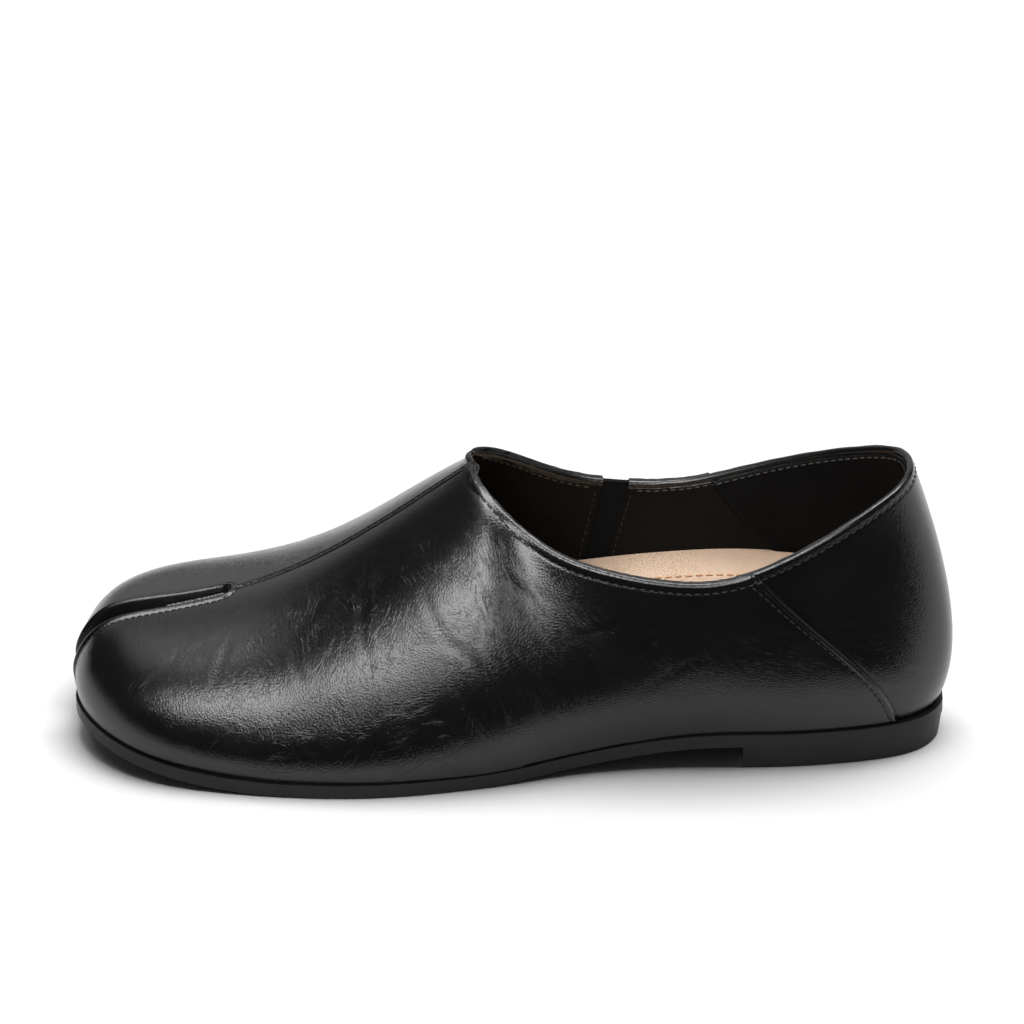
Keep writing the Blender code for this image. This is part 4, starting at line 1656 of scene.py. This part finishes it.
@dataclass
class UpperStitching:
    """The seams' stitches on the upper."""

    upper: Upper
    collar_end: float = 152.0
    seam_gap: float = 3.0
    split_span: tuple[float, float] = (220.0, 288.0)
    lining_end: float = 150.0
    lining_gap: float = 2.5
    side_gap: float = 1.8
    side_drop: float = 1.0
    side_foot: float = 20.0

    def build(self, black: Material, brown: Material) -> None:
        """Makes each row.

        Args:
            black: thread of the outside.
            brown: thread of the lining.
        """
        upper = self.upper
        collar_columns = upper.columns_between(-self.collar_end, self.collar_end)
        collar = upper.contour(upper.rim, upper.rim_stitch, collar_columns, upper.outside)
        Stitching("collar_stitches", [collar], black, Slot.LEATHER, COLLAR_STITCH).build()
        aside = upper.seam_aside()
        seam_columns = upper.columns_between(THROAT + self.seam_gap, SPLIT_END - self.seam_gap)
        seam = upper.contour(aside, upper.seam_stitch, seam_columns, upper.outside)
        Stitching("centre_seam_stitches", [seam], black, Slot.LEATHER, SEAM_STITCH).build()
        Stitching("split_stitches", [self.split_line()], black, Slot.LEATHER, SPLIT_STITCH).build()
        panels = [self.panel_line(seam) for seam in (OUTER_SEAM, INNER_SEAM)]
        Stitching("back_panel_stitches", panels, black, Slot.LEATHER, COLLAR_STITCH).build()
        self.lining_rows(black, brown)

    def panel_line(self, seam: float) -> Line:
        """The stitch line on the front panel beside a slanting seam, wider from it at the top.

        Args:
            seam: the seam's station.

        Returns:
            The line.
        """
        upper = self.upper
        sign = math.copysign(1, seam)
        near, far = (
            upper.column_line(seam + sign * offset, upper.rim_stitch, upper.outside)
            for offset in (upper.front_stitch, upper.front_stitch + upper.front_stitch_top)
        )
        count = min(len(near.points), len(far.points))
        share = np.linspace(1, 0, count)[:, None] ** 2
        points = near.points[-count:] * (1 - share) + far.points[-count:] * share
        return Line(points, near.normals[-count:])

    def split_line(self) -> Line:
        """The stitch line round the split's rolled edge, from the toe round its end and back.

        Returns:
            The line.
        """
        upper = self.upper
        distance, half_width, _ = upper.split_distance(upper.stations, upper.form)
        edge = upper.roll_width + upper.split_stitch
        back, front = self.split_span
        sides = [
            upper.contour(distance - half_width, edge, upper.columns_between(*span), upper.outside)
            for span in ((-front, -back), (back, front))
        ]
        return Line(*(np.concatenate(parts) for parts in zip(*sides)))

    def lining_rows(self, black: Material, brown: Material) -> None:
        """The rows inside: along the lining's top edge and beside the gore.

        Args:
            black: thread of the side rows.
            brown: thread of the top row.
        """
        upper = self.upper
        inward = -1.0
        end, gap = self.lining_end, self.lining_gap
        spans = ((-end, GORE[0] - gap), (GORE[1] + gap, end))
        tops = [
            upper.contour(upper.rim, upper.lining_stitch, upper.columns_between(*span), upper.inside)
            for span in spans
        ]
        tops = [Line(line.points, line.normals * inward) for line in tops]
        Stitching("lining_top_stitches", tops, brown, Slot.LEATHER, LINING_STITCH).build()
        start = upper.lining_stitch + self.side_drop
        rows = [
            upper.column_line(station, start, upper.inside, self.side_foot)
            for station in (GORE[0] - self.side_gap, GORE[1] + self.side_gap)
        ]
        rows = [Line(line.points, line.normals * inward) for line in rows]
        Stitching("lining_side_stitches", rows, black, Slot.LEATHER, LINING_STITCH).build()


@dataclass
class Gore:
    """The elastic strip in the slot of the inner side."""

    last: Last
    upper: Upper
    thickness: float = 1.2
    side_tuck: float = 0.4
    top_gap: float = 0.2
    ribs: int = 7
    rib_depth: float = 0.1
    columns: int = 57
    rows: int = 80

    def build(self, webbing: Material) -> None:
        """Makes the ribbed strip.

        Args:
            webbing: its material.
        """
        stations = np.linspace(GORE[0], GORE[1], self.columns)
        shares, length = self.upper.share_grid(stations)
        slot_row = self.upper.top_steps + self.upper.lower_steps // 2
        start = self.top_gap / length
        end = shares[:, slot_row : slot_row + 1] + self.side_tuck / length
        shares = start + (end - start) * np.linspace(0, 1, self.rows)
        form = self.last.wall_points(stations, shares)[0]
        middle = form[self.columns // 2, None]
        width = np.linalg.norm(form[-1] - form[0], axis=1)[None, :, None]
        form = middle + (form - middle) * (1 + 2 * self.side_tuck / width)
        normals = self.last.wall_normals(stations, shares)
        wave = np.cos(np.linspace(0, 2 * np.pi * self.ribs, self.columns))[:, None, None]
        half = self.thickness / 2 - self.rib_depth * (1 + wave) / 2
        core = form - normals * self.upper.wall / 2
        sheet = Sheet(self.columns, self.rows)
        sheet.place(self.last.to_metres(core + normals * half))
        sheet.thicken(self.last.to_metres(core - normals * half))
        finish_piece("gore_webbing", sheet.mesh, [webbing], Slot.ELASTIC, "elastic_gore")


@dataclass
class Gusset:
    """The leather strip on the floor of the split."""

    last: Last
    upper: Upper
    thickness: float = 0.8
    back_gap: float = 3.5
    tip_gap: float = 7.0
    side_gap: float = 1.1
    most_share: float = 0.55
    columns: int = 60
    strips: int = 8

    def build(self, leather: Material) -> None:
        """Makes the strip.

        Args:
            leather: its material.
        """
        half = np.linspace(SPLIT_END + self.back_gap, TIP - self.tip_gap, self.columns)
        stations = np.concatenate([-half[::-1], half])
        length = self.last.wall_points(stations, np.zeros((len(stations), 1)))[1][:, None]
        forward = np.clip(self.last.seam_forward(stations), 0, None)
        split = self.last.split(forward)
        reach = np.minimum(split[:, :1] - self.side_gap, self.most_share * length)
        shares = reach / length * np.linspace(0, 1, self.strips + 1)
        form = self.last.wall_points(stations, shares)[0]
        normals = self.last.wall_normals(stations, shares)
        floor = -split[:, 1:, None] + self.last.gap
        sheets = (form + normals * (floor + self.thickness), form + normals * floor)
        near, far = (self.joined(sheet) for sheet in sheets)
        sheet = Sheet(self.columns, 2 * self.strips + 1)
        sheet.place(self.last.to_metres(near))
        sheet.thicken(self.last.to_metres(far))
        finish_piece("split_gusset", sheet.mesh, [leather], Slot.LEATHER, "toe_gusset")

    def joined(self, sheet: np.ndarray) -> np.ndarray:
        """Both sides of the strip as one grid, from the outer edge over the middle to the inner edge."""
        outer = sheet[: self.columns][::-1, ::-1]
        return np.hstack([outer, sheet[self.columns :][:, 1:]])


@dataclass
class SoleUnit:
    """The outsole and the low heel."""

    last: Last
    margin: float = 1.6
    edge_round: float = 0.4
    heel_edge_round: float = 0.2
    round_segments: int = 3
    sharp_angle: float = 50.0
    heel_joint: float = 0.06
    heel_taper: float = 1.0
    heel_top_inset: float = 0.2
    end_flat: float = 0.2
    outline_samples: int = 1601
    stations: int = 170
    heel_stations: int = 80
    strips: int = 16

    def sides(self, margin: float) -> tuple[np.ndarray, np.ndarray]:
        """The outline outside the feather line.

        Args:
            margin: its distance from the feather line.

        Returns:
            Points of its outer side, and of its inner side.
        """
        stations = np.linspace(-TIP, TIP, self.outline_samples)
        plan, outward = self.last.foot_line(stations)
        plan = plan + outward * margin
        return plan[stations <= 0], plan[stations >= 0]

    def plan(self, outer: np.ndarray, inner: np.ndarray, count: int, front: float) -> tuple[np.ndarray, ...]:
        """A grid between the two sides of an outline, crowded towards its ends.

        Args:
            outer: points of the outer side.
            inner: points of the inner side.
            count: places along.
            front: where it ends at the latest.

        Returns:
            The grid's places along and across.
        """
        start = max(outer[:, 0].min(), inner[:, 0].min()) + self.end_flat
        end = min(outer[:, 0].max() - self.end_flat, inner[:, 0].max() - self.end_flat, front)
        along = start + (end - start) * (1 - np.cos(np.linspace(0, np.pi, count))) / 2
        low, high = (np.interp(along, *side[np.argsort(side[:, 0])].T) for side in (outer, inner))
        share = np.linspace(0, 1, self.strips + 1)
        across = low[:, None] * (1 - share) + high[:, None] * share
        return np.repeat(along[:, None], self.strips + 1, axis=1), across

    def build(self, rubber: Material) -> None:
        """Makes the outsole and the heel.

        Args:
            rubber: their material.
        """
        along, across = self.plan(*self.sides(self.margin), self.stations, self.last.length)
        top = np.stack([along, across, self.last.sole_topside(along)], axis=-1)
        under = np.stack([along, across, self.last.sole_underside(along)], axis=-1)
        self.solid("outsole_edge", top, under, rubber, "outsole", self.edge_round)
        grids = []
        for margin in (self.margin - self.heel_top_inset, self.margin - self.heel_taper):
            grids.append(self.plan(*self.sides(margin), self.heel_stations, self.last.heel_breast))
        heights = (self.last.heel_height + self.last.gap - self.heel_joint, 0.0)
        top, under = (
            np.stack([along, across, np.full_like(along, height)], axis=-1)
            for (along, across), height in zip(grids, heights)
        )
        self.solid("heel_block", top, under, rubber, "heel", self.heel_edge_round)

    def solid(
        self,
        name: str,
        top: np.ndarray,
        under: np.ndarray,
        rubber: Material,
        node: str,
        edge_round: float,
    ) -> None:
        """Makes a slab with rounded edges.

        Args:
            name: the piece's name.
            top: its upper face's points.
            under: its lower face's points.
            rubber: its material.
            node: the CAD node that it stands for.
            edge_round: width of its rounded edges.
        """
        sheet = Sheet(*top.shape[:2])
        sheet.place(self.last.to_metres(top))
        sheet.thicken(self.last.to_metres(under))
        piece = finish_piece(name, sheet.mesh, [rubber], Slot.RUBBER, node, smooth_angle=60.0)
        rounded = piece.modifiers.new("edge_round", "BEVEL")
        rounded.width = edge_round * MM
        rounded.segments = self.round_segments
        rounded.limit_method = "ANGLE"
        rounded.angle_limit = math.radians(self.sharp_angle)


@dataclass
class Footbed:
    """The raised insole with its stitched beige sock."""

    last: Last
    upper: Upper
    cup: float = 5.5
    cup_end: float = 165.0
    cup_fade: float = 60.0
    cup_back: float = 24.0
    cup_power: float = 2.5
    clearance: float = 0.35
    front: float = 241.0
    tip_gap: float = 14.0
    stations: int = 170
    strips: int = 44
    side_stations: int = 420
    side_shares: int = 120
    edge_round: float = 0.8
    stitch_inset: float = 9.5
    stitch_end: float = 178.0
    groove: float = 0.3
    groove_width: float = 0.7
    level: Curve = field(init=False)

    def __post_init__(self) -> None:
        """Makes the curve of its middle."""
        self.level = Curve(list(FOOTBED_TOP))

    def middle(self, along: np.ndarray) -> np.ndarray:
        """Height of its middle."""
        return self.level(along)[..., 0]

    def edge(self, along: np.ndarray) -> np.ndarray:
        """Height of its edge, cupped at the heel and level with its middle in front."""
        return self.middle(along) + self.cup * smooth_step((self.cup_end - along) / self.cup_fade)

    def side(self, sign: float, height_of: Callable[[np.ndarray], np.ndarray]) -> np.ndarray:
        """Where it meets the inside of the wall on one side.

        Args:
            sign: minus for the outer side, plus for the inner side.
            height_of: its height by place along.

        Returns:
            Points seen from above.
        """
        stations = sign * np.linspace(0, TIP - self.tip_gap, self.side_stations)
        shares = np.tile(np.linspace(0, 1, self.side_shares), (len(stations), 1))
        form, length = self.last.wall_points(stations, shares)
        relief = self.upper.inner_relief(stations, form, shares * length[:, None]) - self.clearance
        inside = form + self.last.wall_normals(stations, shares) * relief[..., None]
        meets = []
        for line in inside:
            above = line[:, 2] - height_of(line[:, 0])
            low = np.argmax(above <= 0) if above[-1] <= 0 else len(above) - 1
            share = min(1.0, above[low - 1] / (above[low - 1] - above[low]))
            meets.append(line[low - 1] + (line[low] - line[low - 1]) * share)
        return np.array(meets)[:, :2]

    def build(self, sock: Material, thread: Material) -> None:
        """Makes the footbed and its stitches.

        Args:
            sock: its material.
            thread: the stitches' thread.
        """
        planner = SoleUnit(self.last, strips=self.strips)
        outer, inner = (self.side(sign, self.edge) for sign in (-1, 1))
        along, across = planner.plan(outer, inner, self.stations, self.front)
        outline = np.concatenate([outer[::-1], inner])
        inset = nearest(np.stack([along, across], axis=-1), outline)[0]
        height = self.surface(along) - self.groove * bump((inset - self.stitch_inset) / self.groove_width)
        seat = 2 * self.last.gap
        low_sides = (self.side(sign, lambda a: self.last.sole_topside(a) + seat) for sign in (-1, 1))
        low_along, low_across = planner.plan(*low_sides, self.stations, self.front)
        low_height = self.last.sole_topside(low_along) + self.last.gap
        top = np.stack([along, across, height], axis=-1)
        sheet = Sheet(*along.shape)
        sheet.place(self.last.to_metres(top))
        sheet.thicken(self.last.to_metres(np.stack([low_along, low_across, low_height], axis=-1)))
        piece = finish_piece("footbed", sheet.mesh, [sock], Slot.SOCK, "insole", smooth_angle=60.0)
        line = self.stitch_line(top, inset)
        Stitching("footbed_stitches", [line], thread, Slot.SOCK, FOOTBED_STITCH).build()

    def surface(self, along: np.ndarray) -> np.ndarray:
        """Heights of the top, cupped at the sides and round the heel.

        Args:
            along: places along by column and row.

        Returns:
            The heights.
        """
        beside = np.abs(np.linspace(-1, 1, along.shape[1])) ** self.cup_power
        behind = np.clip(1 - (along - along[0, 0]) / self.cup_back, 0, 1) ** self.cup_power
        middle = self.middle(along)
        return middle + (self.edge(along) - middle) * (1 - (1 - beside) * (1 - behind))

    def stitch_line(self, top: np.ndarray, inset: np.ndarray) -> Line:
        """The stitched line inside its edge, from the outer side round the heel to the inner side.

        Args:
            top: points of the top by column and row.
            inset: their distances from the outline.

        Returns:
            The line.
        """
        halves = []
        middle_row = inset.shape[1] // 2
        for order in (slice(None, middle_row + 1), slice(None, middle_row - 1, -1)):
            points = []
            for line, depth in zip(top[:, order], inset[:, order]):
                if depth.max() < self.stitch_inset or line[0, 0] > self.stitch_end:
                    continue
                row = int(np.argmax(depth >= self.stitch_inset))
                share = (self.stitch_inset - depth[row - 1]) / (depth[row] - depth[row - 1])
                points.append(line[row - 1] * (1 - share) + line[row] * share)
            halves.append(points)
        points = np.array(halves[0][::-1] + halves[1])
        return Line(points, np.tile([0.0, 0.0, 1.0], (len(points), 1)))


class LightRow(NamedTuple):
    """A soft box: its place, aim, width's direction, sizes in metres, watts, and if it spares the floor."""

    name: str
    place: Colour
    aim: Colour
    along: Colour
    width: float
    height: float
    power: float
    shoe_only: bool


LIGHTS = (
    LightRow("key", (-0.29, -0.98, 0.88), (-0.02, -0.02, 0.04), (0.96, -0.27, 0.0), 0.7, 0.7, 15.5, True),
    LightRow("key_side", (-0.64, -0.70, 0.96), (-0.02, -0.02, 0.04), (0.74, -0.67, 0.0), 0.5, 0.8, 1.2, True),
    LightRow("front", (0.09, -1.25, 0.47), (-0.02, -0.02, 0.04), (1.0, 0.0, 0.0), 0.75, 0.5, 6.5, True),
    LightRow("top", (-0.1, 0.35, 1.45), (0.0, 0.0, 0.03), (1.0, 0.0, 0.0), 1.6, 1.4, 9.0, False),
    LightRow("back", (0.0, 1.9, 0.9), (0.0, 0.0, 0.05), (1.0, 0.0, 0.0), 3.0, 1.2, 7.5, False),
    LightRow("floor", (0.2, 0.1, 1.5), (0.0, 0.0, 0.0), (1.0, 0.0, 0.0), 1.1, 0.8, 24.0, False),
    LightRow("heel_side", (1.2, 0.3, 0.5), (0.05, 0.0, 0.05), (0.0, 1.0, 0.0), 0.8, 0.8, 0.8, False),
)


@dataclass
class Studio:
    """The pale floor, the soft lights and the camera at the photograph's angle."""

    aim: Colour = (0.0, -0.0027, 0.0703)
    elevation: float = 28.0
    azimuth: float = 0.9
    distance: float = 1.9
    focal_pixels: float = 6612.0
    image_pixels: float = 1024.0
    sensor: float = 36.0
    floor_size: float = 12.0
    floor_drop: float = 0.0002
    mirrored_front: float = -0.06
    pale: Colour = (0.85, 0.85, 0.85)
    surround: float = 0.05

    def build(self) -> None:
        """Makes the floor, the lights and the camera round the finished shoe."""
        shoe = bpy.data.collections.new("shoe")
        for piece in bpy.context.scene.objects:
            shoe.objects.link(piece)
        self.make_camera()
        graph = Graph("pale_floor")
        graph.surface(Base_Color=(*self.pale, 1.0), Roughness=0.8, Specular_IOR_Level=0.0)
        for name, side in (("floor", 1), ("front_floor", -1)):
            middle = (0.0, self.mirrored_front + side * self.floor_size / 2, -self.floor_drop)
            plane = self.make_plane(name, graph.material, middle)
            plane.visible_glossy = side > 0
        self.make_world()
        for row in LIGHTS:
            light = self.make_light(row)
            if row.shoe_only:
                light.light_linking.receiver_collection = shoe

    def make_camera(self) -> None:
        """The camera, aimed as in the photograph."""
        rise, turn = math.radians(self.elevation), math.radians(self.azimuth)
        back = Vector((math.cos(rise) * math.sin(turn), -math.cos(rise) * math.cos(turn), math.sin(rise)))
        data = bpy.data.cameras.new("camera")
        data.sensor_width = self.sensor
        data.lens = self.focal_pixels / self.image_pixels * self.sensor
        camera = bpy.data.objects.new("camera", data)
        camera.location = Vector(self.aim) + back * self.distance
        camera.rotation_mode = "QUATERNION"
        camera.rotation_quaternion = (-back).to_track_quat("-Z", "Y")
        bpy.context.scene.collection.objects.link(camera)
        bpy.context.scene.camera = camera

    def make_plane(self, name: str, material: Material, middle: Colour) -> bpy.types.Object:
        """A level square of the floor.

        Args:
            name: its name.
            material: its material.
            middle: its middle.

        Returns:
            The square.
        """
        mesh = bmesh.new()
        place = Matrix.Translation(middle)
        bmesh.ops.create_grid(mesh, x_segments=4, y_segments=4, size=self.floor_size / 2, matrix=place)
        data = bpy.data.meshes.new(name)
        mesh.to_mesh(data)
        mesh.free()
        data.materials.append(material)
        plane = bpy.data.objects.new(name, data)
        bpy.context.scene.collection.objects.link(plane)
        return plane

    def make_world(self) -> None:
        """A plain light grey surround."""
        world = bpy.data.worlds.new("studio")
        world.use_nodes = True
        shade = world.node_tree.nodes["Background"]
        shade.inputs["Color"].default_value = (1.0, 1.0, 1.0, 1.0)
        shade.inputs["Strength"].default_value = self.surround
        bpy.context.scene.world = world
        bpy.context.scene.view_settings.view_transform = "Standard"

    def make_light(self, row: LightRow) -> bpy.types.Object:
        """Hangs a soft box.

        Args:
            row: its place and sizes.

        Returns:
            The light.
        """
        data = bpy.data.lights.new(row.name, "AREA")
        data.shape = "RECTANGLE"
        data.size, data.size_y = row.width, row.height
        data.energy = row.power
        away = (Vector(row.place) - Vector(row.aim)).normalized()
        high = away.cross(Vector(row.along)).normalized()
        axes = Matrix((high.cross(away), high, away)).transposed()
        light = bpy.data.objects.new(row.name, data)
        light.location = row.place
        light.rotation_mode = "QUATERNION"
        light.rotation_quaternion = axes.to_quaternion()
        bpy.context.scene.collection.objects.link(light)
        return light


def main() -> None:
    """Builds the shoe and its studio."""
    logging.basicConfig(level=logging.INFO, format="%(message)s")
    last = Last()
    leather = SmoothLeather().material()
    plain_leather = SmoothLeather("plain_black_leather", wrinkled=False).material()
    back_lining = SmoothLeather("back_lining", sheen=(0.5, 0.6), gloss=0.06, wrinkled=False).material()
    black_thread = Thread("black_thread", ((0.006, 0.006, 0.006), (0.02, 0.02, 0.02))).material()
    brown_thread = Thread("brown_thread", ((0.015, 0.013, 0.011), (0.045, 0.04, 0.034))).material()
    sock_thread = Thread("sock_thread", ((0.25, 0.12, 0.05), (0.42, 0.24, 0.12)), 0.6).material()
    upper = Upper(last)
    upper.build(leather, Lining().material(), back_lining)
    CollarFold(upper).build(plain_leather)
    UpperStitching(upper).build(black_thread, brown_thread)
    Gusset(last, upper).build(plain_leather)
    Gore(last, upper).build(Webbing().material())
    SoleUnit(last).build(Rubber().material())
    Footbed(last, upper).build(SockLeather().material(), sock_thread)
    Studio().build()


if __name__ == "__main__":
    main()
